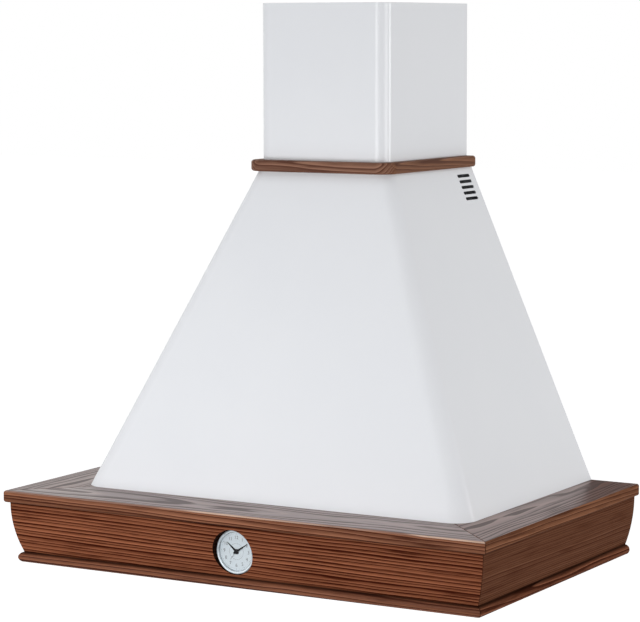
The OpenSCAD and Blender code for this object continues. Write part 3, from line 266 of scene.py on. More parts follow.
grain.links.new(plus(times(plus(shape, times(streak, 0.15)), contrast), times(pores, -0.2)), out.inputs["Height"])


def finish_surface(tree, **sockets):
    """Ends a material in one Principled surface; keys are its sockets' names with _ for a space."""
    surface = node(tree, "ShaderNodeBsdfPrincipled", {k.replace("_", " "): v for k, v in sockets.items()})
    node(tree, "ShaderNodeOutputMaterial", {"Surface": surface.outputs[0]})


def relief(tree, height, depth, strength=1.0):
    return node(tree, "ShaderNodeBump", {"Height": height, "Distance": depth, "Strength": strength}).outputs[0]


def grained(tree, runs_along, ring_centre, ring_width, light, dark, wander=0.02):
    """Outputs of wood whose grain runs along X or Y and whose rings lie round a line at ring_centre."""
    place = node(tree, "ShaderNodeTexCoord").outputs["Object"]
    if runs_along == "Y":
        axes = node(tree, "ShaderNodeSeparateXYZ", {0: place}).outputs
        place = node(tree, "ShaderNodeCombineXYZ", {0: axes[1], 1: axes[0], 2: axes[2]}).outputs[0]
    return node(tree, "ShaderNodeGroup", {
        "Vector": place, "Ring Centre": ring_centre, "Ring Width": ring_width, "Wander": wander,
        "Light": (*light, 1), "Dark": (*dark, 1)}, node_tree=grain).outputs


def stained_wood(name, runs_along, ring_centre, ring_width, light, dark, depth=0.0003, wander=0.02, gloss=0.01,
                 lacquer=0.0, shaded_creases=()):
    """Stained wood, with painted shade: the colour darkens near each given height, within its reach, where shade
    falls in a crease.
    """
    made, tree = material(name)
    wood = grained(tree, runs_along, ring_centre, ring_width, light, dark, wander)
    place = node(tree, "ShaderNodeTexCoord").outputs["Object"]
    colour, height = wood["Color"], node(tree, "ShaderNodeSeparateXYZ", {0: place}).outputs[2]
    # Painted shade: a near-black tone is mixed in near each crease height.
    painted_crease_shade = (*(0.25 * c for c in dark), 1)
    for level, reach in shaded_creases:
        away = math_node(tree, "ABSOLUTE", math_node(tree, "SUBTRACT", height, level))
        colour = mix_colour(tree, spread_range(tree, away, 0.0, reach, 0.85, 0.0), colour, painted_crease_shade)
    finish_surface(tree, Base_Color=colour, Roughness=wood["Roughness"], Normal=relief(tree, wood["Height"], depth),
                   Specular_IOR_Level=gloss, IOR=1.5, Coat_Roughness=0.3,
                   Coat_Weight=spread_range(tree, wood["Sheen"], 0, 1, lacquer / 2.5, lacquer))
    return made


def skin(name, points, faces):
    """A mesh without double points and with every face turned outwards."""
    mesh = bpy.data.meshes.new(name)
    mesh.from_pydata(points, [], faces)
    work = bmesh.new()
    work.from_mesh(mesh)
    bmesh.ops.remove_doubles(work, verts=work.verts, dist=1e-7)
    bmesh.ops.recalc_face_normals(work, faces=work.faces)
    work.to_mesh(mesh)
    work.free()
    return mesh


def new_piece(name, mesh, *materials, sharp=30):
    """Makes the mesh an object at the origin, smooth apart from edges sharper than an angle."""
    for m in materials:
        mesh.materials.append(m)
    mesh.shade_smooth()
    mesh.set_sharp_from_angle(angle=math.radians(sharp))
    return linked(name, mesh)


def applied(piece):
    """Turns the piece and its modifiers into one plain mesh."""
    bpy.context.view_layer.update()
    done = bpy.data.meshes.new_from_object(piece.evaluated_get(bpy.context.evaluated_depsgraph_get()))
    piece.modifiers.clear()
    piece.data = done
    return piece


def carve(piece, *cutters):
    """Takes each cutter's shape out of the piece."""
    for cutter in cutters:
        cut = piece.modifiers.new("cut", "BOOLEAN")
        cut.operation, cut.solver, cut.object = "DIFFERENCE", "EXACT", cutter
        cut.material_mode = "TRANSFER"
    applied(piece)
    for cutter in cutters:
        bpy.data.objects.remove(cutter)


def ease_edges(piece, width, angle=40):
    """Rounds the sharp edges a little and keeps the flat faces flat."""
    ease = piece.modifiers.new("ease", "BEVEL")
    ease.width, ease.segments, ease.limit_method, ease.angle_limit = width, 2, "ANGLE", math.radians(angle)
    even = piece.modifiers.new("even", "WEIGHTED_NORMAL")
    even.keep_sharp = True
    return applied(piece)


def fitted(piece, body, slot, *nodes):
    """Hands the finished piece over: what it moves with, and the model pieces it stands for, which it hides. The slot
    is not used.
    """
    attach(piece, body)
    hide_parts(*nodes)


def arc(x, y, radius, start, end, steps):
    angles = [math.radians(start + (end - start) * i / steps) for i in range(steps + 1)]
    return [(x + radius * math.cos(a), y + radius * math.sin(a)) for a in angles]


def prism_faces(count):
    """Faces of a solid between two outlines of count points each, listed one after the other."""
    ends = [tuple(range(count)), tuple(range(2 * count - 1, count - 1, -1))]
    return ends + [(i, (i + 1) % count, count + (i + 1) % count, count + i) for i in range(count)]


base_w, base_d, base_z = 0.9, 0.58, -0.5
board_foot, board_top, board_w, board_r = 0.103, 0.123, 0.13, 0.004
fascia_in, fascia_t, bead_h, bead_in = 0.008, 0.034, 0.017, 0.016
fascia_foot, fascia_top, fascia_curve = 0.017, 0.103, 0.016
fascia_rise = fascia_top - fascia_foot
fascia_r = (fascia_rise ** 2 + fascia_curve ** 2) / (2 * fascia_curve)
fascia_sweep = math.degrees(math.asin(fascia_rise / fascia_r))
corner_gap = 0.0006

board_outline = (arc(board_r, board_foot + board_r, board_r, 270, 180, 8)
                 + arc(board_r, board_top - board_r, board_r, 180, 90, 8)
                 + [(board_w, board_top), (board_w, board_foot)])
fascia_outline = (arc(fascia_in + fascia_r, fascia_top, fascia_r, 180, 180 + fascia_sweep, 24)
                  + [(fascia_in + fascia_t, fascia_foot), (fascia_in + fascia_t, fascia_top)])
bead_outline = (arc(bead_in + bead_h / 2, bead_h / 2, bead_h / 2, 270, 90, 24)
                + [(fascia_in + fascia_t, bead_h), (fascia_in + fascia_t, 0.0)])


def moulding(name, outline, run, *surfaces):
    """A length of moulding; its outline is distance in from the base's edge against height above its foot."""
    points = []
    for end in (0, 1):
        for inset, height in outline:
            if run == "front":
                side = -1 if end == 0 else 1
                points.append((side * (base_w / 2 - inset - corner_gap), -base_d + inset, base_z + height))
            else:
                side = -1 if run == "left" else 1
                y = -base_d + inset + corner_gap if end == 0 else 0.0
                points.append((side * (base_w / 2 - inset), y, base_z + height))
    return new_piece(name, skin(name, points, prism_faces(len(outline))), *surfaces)


# Light and dark tones of the stain: the front is redder and the side fascias are olive. The pale tones on the front
# board's upper round edge are a painted highlight.
red_stain = (0.345, 0.12, 0.058), (0.044, 0.008, 0.003)
# The side fascias' tones are olive and finer-grained, and darker than the front's; the darkness is partly painted
# shade of the less lit sides.
olive_stain_and_shade = (0.16, 0.066, 0.034), (0.07, 0.022, 0.01)
# Painted highlight: pale, greyish tones for the front board's upper rounding.
highlight_stain = (0.56, 0.37, 0.27), (0.22, 0.1, 0.062)
top_stain = (0.19, 0.075, 0.048), (0.05, 0.018, 0.012)
edge_stain = (0.31, 0.127, 0.068), (0.06, 0.017, 0.008)
side_edge_stain = (0.27, 0.112, 0.055), (0.085, 0.03, 0.014)
bead_stain = (0.26, 0.098, 0.05), (0.055, 0.014, 0.006)
# Painted shade: the colour darkens in the crease above the bead and under the boards' overhang.
crease_shading = {"shaded_creases": ((base_z + fascia_foot, 0.0035), (base_z + fascia_top, 0.003))}
flat_top = {"wander": 0.06, "gloss": 0.5, "lacquer": 0.7}
straight = {"wander": 0.012}
wood = {}
for name, runs_along, ring_centre, ring_width, tones, settings in (
        ("front_board", "X", (0, -0.53, -0.423), 0.0095, top_stain, {**flat_top, "lacquer": 0.95}),
        ("front_edge", "X", (0, -0.5, -0.5), 0.0055, edge_stain, {**straight, **crease_shading, "gloss": 0.05}),
        ("worn_edge", "X", (0, -0.5, -0.5), 0.008, highlight_stain, {**straight, "gloss": 0.5, "lacquer": 0.5}),
        ("side_edge", "Y", (0, 0.36, -0.5), 0.0055, side_edge_stain, {**straight, **crease_shading, "gloss": 0.02}),
        ("left_board", "Y", (0, -0.385, -0.41), 0.0085, top_stain, flat_top),
        ("right_board", "Y", (0, 0.385, -0.41), 0.0085, top_stain, flat_top),
        ("front_fascia", "X", (0, -0.6, -0.86), 0.0054, red_stain, {**straight, **crease_shading, "depth": 0.0005}),
        ("left_fascia", "Y", (0, -0.47, -0.86), 0.0036, olive_stain_and_shade, {**straight, **crease_shading, "depth": 0.0002}),
        ("right_fascia", "Y", (0, 0.47, -0.86), 0.0036, olive_stain_and_shade, {**straight, **crease_shading, "depth": 0.0002}),
        ("front_bead", "X", (0, -0.5, -0.7), 0.006, bead_stain, {**crease_shading, "gloss": 0.05, "lacquer": 0.1}),
        ("side_bead", "Y", (0, 0.3, -0.7), 0.006, bead_stain, crease_shading)):
    wood[name] = stained_wood(name + "_wood", runs_along, ring_centre, ring_width, *tones, **settings)

edge_ease, flat_above, rounded_above = 0.0006, 0.9, 0.3
for run in ("front", "left", "right"):
    for part, outline in (("board", board_outline), ("fascia", fascia_outline), ("bead", bead_outline)):
        name = run + "_" + part
        if name != "front_fascia":
            surfaces = [wood.get(name) or wood["side_bead"]]
            if part == "board":
                surfaces += [wood["front_edge"], wood["worn_edge"]] if run == "front" else 2 * [wood["side_edge"]]
            piece = ease_edges(moulding(name, outline, run, *surfaces), edge_ease)
            # The front board's upper rounding takes the pale tones of a painted highlight; the side boards' roundings
            # do not.
            if part == "board":
                for face in piece.data.polygons:
                    up = face.normal.z
                    face.material_index = 0 if up > flat_above else 2 if up > rounded_above else 1
            fitted(piece, "hood", "stained_wood", name)


# The front fascia is one more length of the curved moulding, with a stepped round recess milled for the clock:
# a wide seat with an eased rim in its curved face, and a narrower bore behind it for the clock's body.
clock_at = Vector((-0.006, -0.554, -0.441))
clock_turn = Matrix.Translation(clock_at) @ Matrix.Rotation(math.radians(90), 4, "X")


def lathe(name, outline, place=None, steps=96):
    """Turns a closed outline of (radius, height) points round the Z axis, then puts it in its place."""
    rings, points = [], []
    for r, h in outline:
        if r < 1e-9:
            rings.append([len(points)] * steps)
            points.append(Vector((0, 0, h)))
        else:
            rings.append(list(range(len(points), len(points) + steps)))
            points += [Vector((r * math.cos(2 * math.pi * k / steps), r * math.sin(2 * math.pi * k / steps), h))
                       for k in range(steps)]
    faces = []
    for a, b in zip(rings, rings[1:] + rings[:1]):
        if a[0] != a[-1] or b[0] != b[-1]:
            faces += [list(dict.fromkeys((a[k], a[(k + 1) % steps], b[(k + 1) % steps], b[k]))) for k in range(steps)]
    return skin(name, [(place or Matrix()) @ p for p in points], faces)


# The recess walls are end grain, which takes the stain darker; their near-black tone is partly painted shade in the
# recess.
end_grain_and_shade = stained_wood("end_grain_and_shade", "X", (0, -0.6, -0.86), 0.0066, (0.035, 0.014, 0.008),
                         (0.008, 0.003, 0.002))
fascia = moulding("front_fascia", fascia_outline, "front", wood["front_fascia"])
seat_r, bore_r = 0.0372, 0.0301
seat = [(0, 0), (seat_r, 0), (seat_r, 0.03), (0, 0.03)]
bore = [(0, -0.04), (bore_r, -0.04), (bore_r, 0.01), (0, 0.01)]
carve(fascia, new_piece("seat", lathe("seat", seat, clock_turn), end_grain_and_shade),
      new_piece("bore", lathe("bore", bore, clock_turn), end_grain_and_shade))
fitted(ease_edges(fascia, edge_ease, 50), "hood", "stained_wood", "front_fascia")


def dress(surface, *names):
    """Gives model pieces that keep their shape their material."""
    for name in names:
        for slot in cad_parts[name].material_slots:
            slot.material = surface


# Plain softwood glue blocks stand inside the two front corners of the base and behind the rear ends of its side
# fascias. They are sawn and left bare, with the grain running from front to back.
block_wood = stained_wood("block_wood", "Y", (0, 0.2, -0.6), 0.004, (0.62, 0.42, 0.22), (0.42, 0.22, 0.09),
                          0.0001)
dress(block_wood, "corner_blocks")


# The canopy is one folded and welded sheet of steel, painted a slightly cool white and baked, with a satin
# skin that has a faint orange peel. Its foot turns in as a flange, and its top is a plate with the throat.
# Five vent slots are punched high on each side, near the wall. It stands on the boards, against the panel.
sheet_t = 0.0012
foot_w, foot_d, foot_r = 0.724, 0.475, 0.036
canopy_top_w, canopy_top_d, canopy_top_r = 0.26, 0.297, 0.025
canopy_z, canopy_top_z = -0.377, 0.152
throat_w, throat_d, throat_y, throat_foot = 0.2, 0.24, -0.267, 0.14
flange_in = 0.0212

paint, tree = material("white_paint")
place = node(tree, "ShaderNodeTexCoord").outputs["Object"]
peel = noise(tree, place, (150, 150, 150), 1.0)
wave = noise(tree, place, (7, 7, 7), 2.0)
dusty = noise(tree, place, (12, 12, 12), 3.0)
paint_colour = mix_colour(tree, wave, (0.775, 0.785, 0.81, 1), (0.805, 0.812, 0.83, 1))
paint_rough = spread_range(tree, dusty, 0.3, 0.7, 0.29, 0.31)
finish_surface(tree, Base_Color=paint_colour, Roughness=paint_rough, Normal=relief(tree, peel, 0.000004, 0.4),
               Coat_Weight=0.3, Coat_Roughness=0.12, IOR=1.5)


def cover_path(width, depth, radius, inset=0.0, rear=0.0):
    """Plan of a cover that stands against the wall, from its left rear end round the front to its right."""
    w, d, r = width / 2 - inset, depth - inset, max(radius - inset, 0.0005)
    return [(-w, rear)] + arc(-w + r, -d + r, r, 180, 270, 24) + arc(w - r, -d + r, r, 270, 360, 24) + [(w, rear)]


def standing(name, levels):
    """A solid that stands against the wall; levels are plan paths with their heights, from foot to top."""
    count = len(levels[0][0])
    points = [(x, y, z) for path, z in levels for x, y in path]
    faces = [tuple(range(count)), tuple(range(len(points) - 1, len(points) - 1 - count, -1))]
    for k in range(len(levels) - 1):
        a, b = k * count, (k + 1) * count
        faces += [(a + i, a + i + 1, b + i + 1, b + i) for i in range(count - 1)]
    rear = [k * count for k in range(len(levels))] + [k * count + count - 1 for k in reversed(range(len(levels)))]
    faces.append(tuple(rear))
    return skin(name, points, faces)


def tapered(z, inset):
    """The canopy's plan at a height."""
    share = (z - canopy_z) / (canopy_top_z - canopy_z)
    w, d, r = (a + (b - a) * share for a, b in ((foot_w, canopy_top_w), (foot_d, canopy_top_d),
                                                (foot_r, canopy_top_r)))
    return cover_path(w, d, r, inset, 0.001 if inset else 0.0)


def box(name, low, high):
    (x0, y0, z0), (x1, y1, z1) = low, high
    points = [(x, y, z) for x in (x0, x1) for y in (y0, y1) for z in (z0, z1)]
    faces = [(0, 1, 3, 2), (4, 6, 7, 5), (0, 4, 5, 1), (2, 3, 7, 6), (0, 2, 6, 4), (1, 5, 7, 3)]
    return skin(name, points, faces)


def finish_geometry(tree, instances, surface):
    solid = node(tree, "GeometryNodeRealizeInstances", {0: instances}).outputs[0]
    painted = node(tree, "GeometryNodeSetMaterial", {"Geometry": solid, "Material": surface}).outputs[0]
    node(tree, "NodeGroupOutput", {0: painted})


# Copies of one part in a straight row; every second copy may be shifted.
geometry, part_in, paint_in = ("Geometry", "Geometry"), ("Part", "Object"), ("Material", "Material")
row, given = node_group("row", "GeometryNodeTree", [
    geometry, part_in, ("Count", "Int"), ("Start", "Vector"), ("Step", "Vector"), ("Odd Shift", "Vector"), paint_in,
], [geometry])
line = node(row, "GeometryNodeMeshLine", {"Count": given["Count"], "Start Location": given["Start"],
                                          "Offset": given["Step"]}, mode="OFFSET").outputs[0]
odd = math_node(row, "MODULO", node(row, "GeometryNodeInputIndex").outputs[0], 2.0)
shift = node(row, "ShaderNodeVectorMath", {0: given["Odd Shift"], "Scale": odd}, operation="SCALE").outputs[0]
line = node(row, "GeometryNodeSetPosition", {"Geometry": line, "Offset": shift}).outputs[0]
part = node(row, "GeometryNodeObjectInfo", {"Object": given["Part"]}).outputs["Geometry"]
laid = node(row, "GeometryNodeInstanceOnPoints", {"Points": line, "Instance": part}).outputs[0]
finish_geometry(row, laid, given["Material"])

# Copies of one part round a circle in the plane of X and Y, each turned to point outwards.
ring_of, given = node_group("ring", "GeometryNodeTree", [
    geometry, part_in, ("Count", "Int"), ("Radius", "Float"), paint_in], [geometry])
circle = node(ring_of, "GeometryNodeMeshCircle", {"Vertices": given["Count"], "Radius": given["Radius"]}).outputs[0]
turned = math_node(ring_of, "MULTIPLY", node(ring_of, "GeometryNodeInputIndex").outputs[0], 2 * math.pi)
turned = math_node(ring_of, "DIVIDE", turned, given["Count"])
turned = node(ring_of, "ShaderNodeCombineXYZ", {2: turned}).outputs[0]
turned = node(ring_of, "FunctionNodeEulerToRotation", {0: turned}).outputs[0]
part = node(ring_of, "GeometryNodeObjectInfo", {"Object": given["Part"]}).outputs["Geometry"]
laid = node(ring_of, "GeometryNodeInstanceOnPoints", {"Points": circle, "Instance": part,
                                                      "Rotation": turned}).outputs[0]
finish_geometry(ring_of, laid, given["Material"])


def grown(name, group, part_mesh, **values):
    """Copies a part's mesh by a geometry node group and returns the plain mesh of all the copies."""
    part = new_piece(name + "_part", part_mesh)
    holder = linked(name, bpy.data.meshes.new(name))
    growth = holder.modifiers.new("growth", "NODES")
    growth.node_group = group
    sockets = {s.name: s.identifier for s in group.interface.items_tree if s.in_out == "INPUT"}
    growth[sockets["Part"]] = part
    for key, value in values.items():
        growth[sockets[key.replace("_", " ")]] = value
    mesh = applied(holder).data
    bpy.data.objects.remove(holder)
    bpy.data.objects.remove(part)
    return mesh


def throat_cutter(top, surface):
    """The outlet's rectangular way up through the canopy's top plate and the collar."""
    low, high = (-throat_w / 2, throat_y, throat_foot), (throat_w / 2, throat_y + throat_d, top)
    return new_piece("throat", box("throat", low, high), surface)


past = 0.001
canopy = new_piece("canopy", standing("canopy", [(tapered(z, 0.0), z) for z in (canopy_z, canopy_top_z)]), paint)
hollow = [(tapered(z, sheet_t), z) for z in (canopy_z + sheet_t, canopy_top_z - sheet_t)]
mouth = [(cover_path(foot_w, foot_d, foot_r, flange_in, past), z) for z in (canopy_z - past, canopy_z + 0.002)]
rear_low, rear_high = (-foot_w / 2 + sheet_t, -0.0016, -0.38), (foot_w / 2 - sheet_t, past, -0.3755)
slot_h, slot_w, slot_rear, slot_pitch, slot_drop, slot_reach = 0.0052, 0.045, -0.019, 0.0095, 0.014, 0.3
slot_path = (arc(slot_rear - slot_h / 2, 0, slot_h / 2, -90, 90, 12)
             + arc(slot_rear - slot_w + slot_h / 2, 0, slot_h / 2, 90, 270, 12))
slot_points = [(x, y, z) for x in (-slot_reach, slot_reach) for y, z in slot_path]
slots = grown("slots", row, skin("slot", slot_points, prism_faces(len(slot_path))), Count=5,
              Start=(0, 0, canopy_top_z - slot_drop), Step=(0, 0, -slot_pitch), Odd_Shift=(0, 0, 0), Material=paint)
carve(canopy, new_piece("hollow", standing("hollow", hollow), paint),
      new_piece("mouth", standing("mouth", mouth), paint), throat_cutter(0.16, paint), new_piece("slots", slots),
      new_piece("rear", box("rear", rear_low, rear_high), paint))
fitted(ease_edges(canopy, 0.0004, 50), "hood", "painted_white", "canopy")

# The collar is a flat wooden ring with round edges, stained like the base, that stands on the canopy's top. Its
# grain runs along each side and turns at the round corners. The canopy's throat runs on through it.
collar_w, collar_d, collar_r, collar_e = 0.276, 0.312, 0.03, 0.005
collar_z, collar_top = 0.152, 0.171
collar_wood, tree = material("collar_wood")
# The front's tones are paler and greyer than the sides': painted sheen on the front, and painted shade on the sides.
along_front = grained(tree, "X", (0, -0.26, 0.12), 0.0045, (0.29, 0.145, 0.092), (0.095, 0.035, 0.02))
along_side = grained(tree, "Y", (0, 0.05, 0.12), 0.0045, (0.24, 0.1, 0.045), (0.085, 0.03, 0.014))
place = node(tree, "ShaderNodeTexCoord").outputs["Object"]
round_corner = spread_range(tree, node(tree, "ShaderNodeSeparateXYZ", {0: place}).outputs[1], -0.304, -0.286)
collar_height, collar_rough = (
    node(tree, "ShaderNodeMix", {0: round_corner, 2: along_front[key], 3: along_side[key]},
         data_type="FLOAT").outputs[0] for key in ("Height", "Roughness"))
finish_surface(tree, Base_Color=mix_colour(tree, round_corner, along_front["Color"], along_side["Color"]),
               Roughness=collar_rough, Normal=relief(tree, collar_height, 0.0003), Specular_IOR_Level=0.15, IOR=1.5)
levels = [(cover_path(collar_w, collar_d, collar_r, collar_e * (1 - math.cos(math.radians(a)))),
           middle + collar_e * math.sin(math.radians(a)))
          for middle, degrees in ((collar_z + collar_e, range(-90, 1, 15)), (collar_top - collar_e, range(0, 91, 15)))
          for a in degrees]
collar = new_piece("collar", standing("collar", levels), collar_wood, sharp=50)
carve(collar, throat_cutter(0.18, collar_wood))
fitted(ease_edges(collar, 0.0004, 60), "hood", "stained_wood", "collar")


# The lower flue cover is painted sheet folded round the front, with returns along the wall and a lip turned
# in at its foot, which stands on the collar. The upper cover is the same fold, one sheet smaller all round,
# and slides in it.
def joined(name, *parts):
    """One mesh from (mesh, material) pairs."""
    work = bmesh.new()
    surfaces = []
    for mesh, surface in parts:
        if surface not in surfaces:
            surfaces.append(surface)
        before = len(work.faces)
        work.from_mesh(mesh)
        work.faces.ensure_lookup_table()
        for face in work.faces[before:]:
            face.material_index = surfaces.index(surface)
    mesh = bpy.data.meshes.new(name)
    work.to_mesh(mesh)
    work.free()
    for surface in surfaces:
        mesh.materials.append(surface)
    return mesh


def sheet_along(name, section):
    """Sheet along a path; section has its four corners in order, each a (path, height) pair."""
    count = len(section[0][0])
    points = [(x, y, z) for path, z in section for x, y in path]
    faces = [tuple(k * count for k in range(4)), tuple(k * count + count - 1 for k in (3, 2, 1, 0))]
    for k in range(4):
        a, b = k * count, ((k + 1) % 4) * count
        faces += [(a + i, a + i + 1, b + i + 1, b + i) for i in range(count - 1)]
    return skin(name, points, faces)


def folded_cover(name, width, depth, radius, z0, z1, rear, lip=0.0):
    """A cover with its returns and a turned-in foot lip; rear is how far its back stands from the wall."""
    t, back = 0.001, 0.02

    def plan(inset):
        path = cover_path(width, depth, radius, inset, rear - inset)
        return [(-width / 2 + back, rear - inset)] + [(x, y + (rear if 0 < i < len(path) - 1 else 0))
                for i, (x, y) in enumerate(path)] + [(width / 2 - back, rear - inset)]

    sheets = [(sheet_along(name, [(plan(0.0), z0), (plan(0.0), z1), (plan(t), z1), (plan(t), z0)]), paint)]
    if lip:
        foot = [(cover_path(width, depth, radius, inset, -t), z) for inset, z in
                ((t, z0), (t, z0 + t), (lip, z0 + t), (lip, z0))]
        sheets.append((sheet_along(name + "_lip", foot), paint))
    return new_piece(name, joined(name, *sheets))


lower = folded_cover("lower_flue", 0.242, 0.294, 0.022, 0.171, 0.432, 0.0, 0.014)
fitted(ease_edges(lower, 0.0003, 50), "hood", "painted_white", "lower_flue")
upper = folded_cover("upper_flue", 0.238, 0.29, 0.02, 0.1723, 0.429, -0.002)
fitted(ease_edges(upper, 0.0003, 50), "flue_slide", "painted_white", "upper_flue")

# Zinc-plated sheet: the back panel, which hangs on four wall bolts, and the shelf and the brackets that are
# screwed to it. The plating shows a faint spangle of grey crystals. Screws, pin and shaft are smoother.
wear, given = node_group("fine_wear", "ShaderNodeTree", [("Vector", "Vector"), ("Scale", "Float", 1.0)],
                         [("Cloud", "Float"), ("Speckle", "Float")])
scaled = node(wear, "ShaderNodeVectorMath", {0: given["Vector"], "Scale": given["Scale"]},
              operation="SCALE").outputs[0]
out = node(wear, "NodeGroupOutput")
wear.links.new(noise(wear, scaled, (30, 30, 30), 4.0), out.inputs["Cloud"])
wear.links.new(noise(wear, scaled, (900, 900, 900), 2.0), out.inputs["Speckle"])


def worn(tree, scale=1.0):
    """Object coordinates with the cloud and the speckle that fine wear draws on them."""
    place = node(tree, "ShaderNodeTexCoord").outputs["Object"]
    made = node(tree, "ShaderNodeGroup", {"Vector": place, "Scale": scale}, node_tree=wear).outputs
    return place, made["Cloud"], made["Speckle"]


def plain_finish(name, light, dark, rough, rough_to, depth, scale=1.0, **constants):
    """A finish whose colour and gloss drift slightly over the surface, with a fine speckled skin."""
    made, tree = material(name)
    cloud, speckle = worn(tree, scale)[1:]
    colour = mix_colour(tree, spread_range(tree, cloud, 0.3, 0.7), (*light, 1), (*dark, 1))
    gloss = spread_range(tree, cloud, 0.3, 0.7, rough, rough_to)
    finish_surface(tree, Base_Color=colour, Roughness=gloss, Normal=relief(tree, speckle, depth, 0.6), **constants)
    return made


def brushed_metal(name, light, dark, scale, depth):
    """Bare metal with fine scratches; scale stretches them along one axis."""
    made, tree = material(name)
    scratches = noise(tree, worn(tree)[0], scale, 3.0, 0.7)
    colour = mix_colour(tree, spread_range(tree, scratches, 0.3, 0.7), (*dark, 1), (*light, 1))
    finish_surface(tree, Base_Color=colour, Roughness=spread_range(tree, scratches, 0.3, 0.7, 0.28, 0.46),
                   Normal=relief(tree, scratches, depth, 0.6), Metallic=1.0)
    return made


zinc, tree = material("zinc_steel")
place, cloud, speckle = worn(tree)
spangle = node(tree, "ShaderNodeTexVoronoi", {"Vector": place, "Scale": 130.0, "Randomness": 1.0}).outputs["Color"]
flake = node(tree, "ShaderNodeSeparateColor", {0: spangle}).outputs[0]
finish_surface(tree, Base_Color=mix_colour(tree, flake, (0.5, 0.515, 0.53, 1), (0.64, 0.65, 0.665, 1)),
               Roughness=spread_range(tree, flake, 0.0, 1.0, 0.32, 0.48), Metallic=1.0,
               Normal=relief(tree, speckle, 0.00001, 0.5))
dress(zinc, "back_panel", "blower_shelf", "flue_bracket", "motor_bracket")
screw_steel = plain_finish("screw_steel", (0.66, 0.67, 0.68), (0.56, 0.57, 0.58), 0.22, 0.34, 0.00001, 3.0,
                           Metallic=1.0)
dress(screw_steel, "frame_screws", "blower_screws", "flap_pin", "motor_shaft")

# The blower is moulded in grey plastic with a fine spark-eroded skin and screwed together: two housing halves,
# the wheel with its blades, the adapter and the duct collar. The check flaps are paler. The motor is painted.
grey_plastic = plain_finish("grey_plastic", (0.125, 0.128, 0.135), (0.1, 0.102, 0.108), 0.5, 0.62, 0.00006)
wheel_plastic = plain_finish("wheel_plastic", (0.2, 0.205, 0.21), (0.16, 0.163, 0.17), 0.42, 0.55, 0.00004)
dress(grey_plastic, "blower_housing_left", "blower_housing_right", "outlet_adapter", "duct_collar")
dress(wheel_plastic, "impeller")
flap_plastic = plain_finish("flap_plastic", (0.36, 0.36, 0.37), (0.3, 0.3, 0.31), 0.45, 0.58, 0.00004)
motor_paint = plain_finish("motor_paint", (0.2, 0.21, 0.22), (0.15, 0.16, 0.17), 0.4, 0.52, 0.00005, 2.0)
dress(flap_plastic, "flap_front", "flap_rear")
dress(motor_paint, "motor")

# Electrics: the capacitor in a brushed aluminium can, held by its stud, and the white plastic junction box on the
# back panel, with its lid and the black cable gland.
can_metal = brushed_metal("can_metal", (0.8, 0.8, 0.81), (0.66, 0.66, 0.67), (300, 300, 8), 0.00002)
white_plastic = plain_finish("white_plastic", (0.8, 0.8, 0.78), (0.74, 0.735, 0.71), 0.38, 0.5, 0.00003)
black_plastic = plain_finish("black_plastic", (0.022, 0.022, 0.023), (0.03, 0.03, 0.031), 0.24, 0.36, 0.00002)
dress(can_metal, "capacitor")
dress(white_plastic, "junction_box", "junction_lid")
dress(black_plastic, "cable_gland")

# The underside panel is steel sheet in silver-grey paint with a fine metallic fleck. It closes the base from
# below and carries the filters, the lamps and the switches.
panel_paint, tree = material("panel_paint")
place, cloud, speckle = worn(tree)
fleck = spread_range(tree, noise(tree, place, (1900, 1900, 1900), 2.0), 0.45, 0.75)
base_grey = mix_colour(tree, cloud, (0.46, 0.465, 0.475, 1), (0.5, 0.505, 0.515, 1))
finish_surface(tree, Base_Color=mix_colour(tree, fleck, base_grey, (0.68, 0.685, 0.7, 1)),
               Roughness=spread_range(tree, cloud, 0.3, 0.7, 0.34, 0.42),
               Metallic=spread_range(tree, fleck, 0, 1, 0.1, 0.6), Normal=relief(tree, speckle, 0.00002, 0.5))
dress(panel_paint, "under_panel")

# The two grease filters, hinged at the rear: a brushed aluminium frame, and in it a pack of expanded foil under
# a lattice of stamped strands. Each strand is a zigzag, and every second one is shifted so that diamonds form.
filter_x, mesh_y0, mesh_y1, mesh_half = 0.156, -0.35, -0.0762, 0.136
lattice_z, pack_z0, pack_z1 = -0.4762, -0.4752, -0.4706
wave_half, wave_swing, strand_pitch = 0.004, 0.0019, 0.004
strand_half, strand_low, strand_high = 0.00032, 0.0002, 0.0003
frame_metal = brushed_metal("frame_metal", (0.8, 0.8, 0.81), (0.62, 0.62, 0.63), (9, 420, 420), 0.00002)
strand_metal = brushed_metal("strand_metal", (0.82, 0.82, 0.83), (0.6, 0.6, 0.61), (260, 260, 260), 0.00003)
foil, tree = material("foil_pack")
place, cloud, speckle = worn(tree)
crumple = node(tree, "ShaderNodeTexVoronoi", {"Vector": place, "Scale": 260.0, "Randomness": 1.0}).outputs["Distance"]
# Painted shade: the foil's colour darkens away from each cell's middle, in its folds.
fold_shade = spread_range(tree, crumple, 0.1, 0.7)
finish_surface(tree, Base_Color=mix_colour(tree, fold_shade, (0.66, 0.66, 0.67, 1), (0.2, 0.2, 0.21, 1)),
               Roughness=spread_range(tree, cloud, 0.3, 0.7, 0.3, 0.5),
               Metallic=spread_range(tree, crumple, 0.0, 0.9, 0.85, 1.0), Normal=relief(tree, crumple, 0.0009, 1.0))
dress(frame_metal, "filter_frame_left", "filter_frame_right")

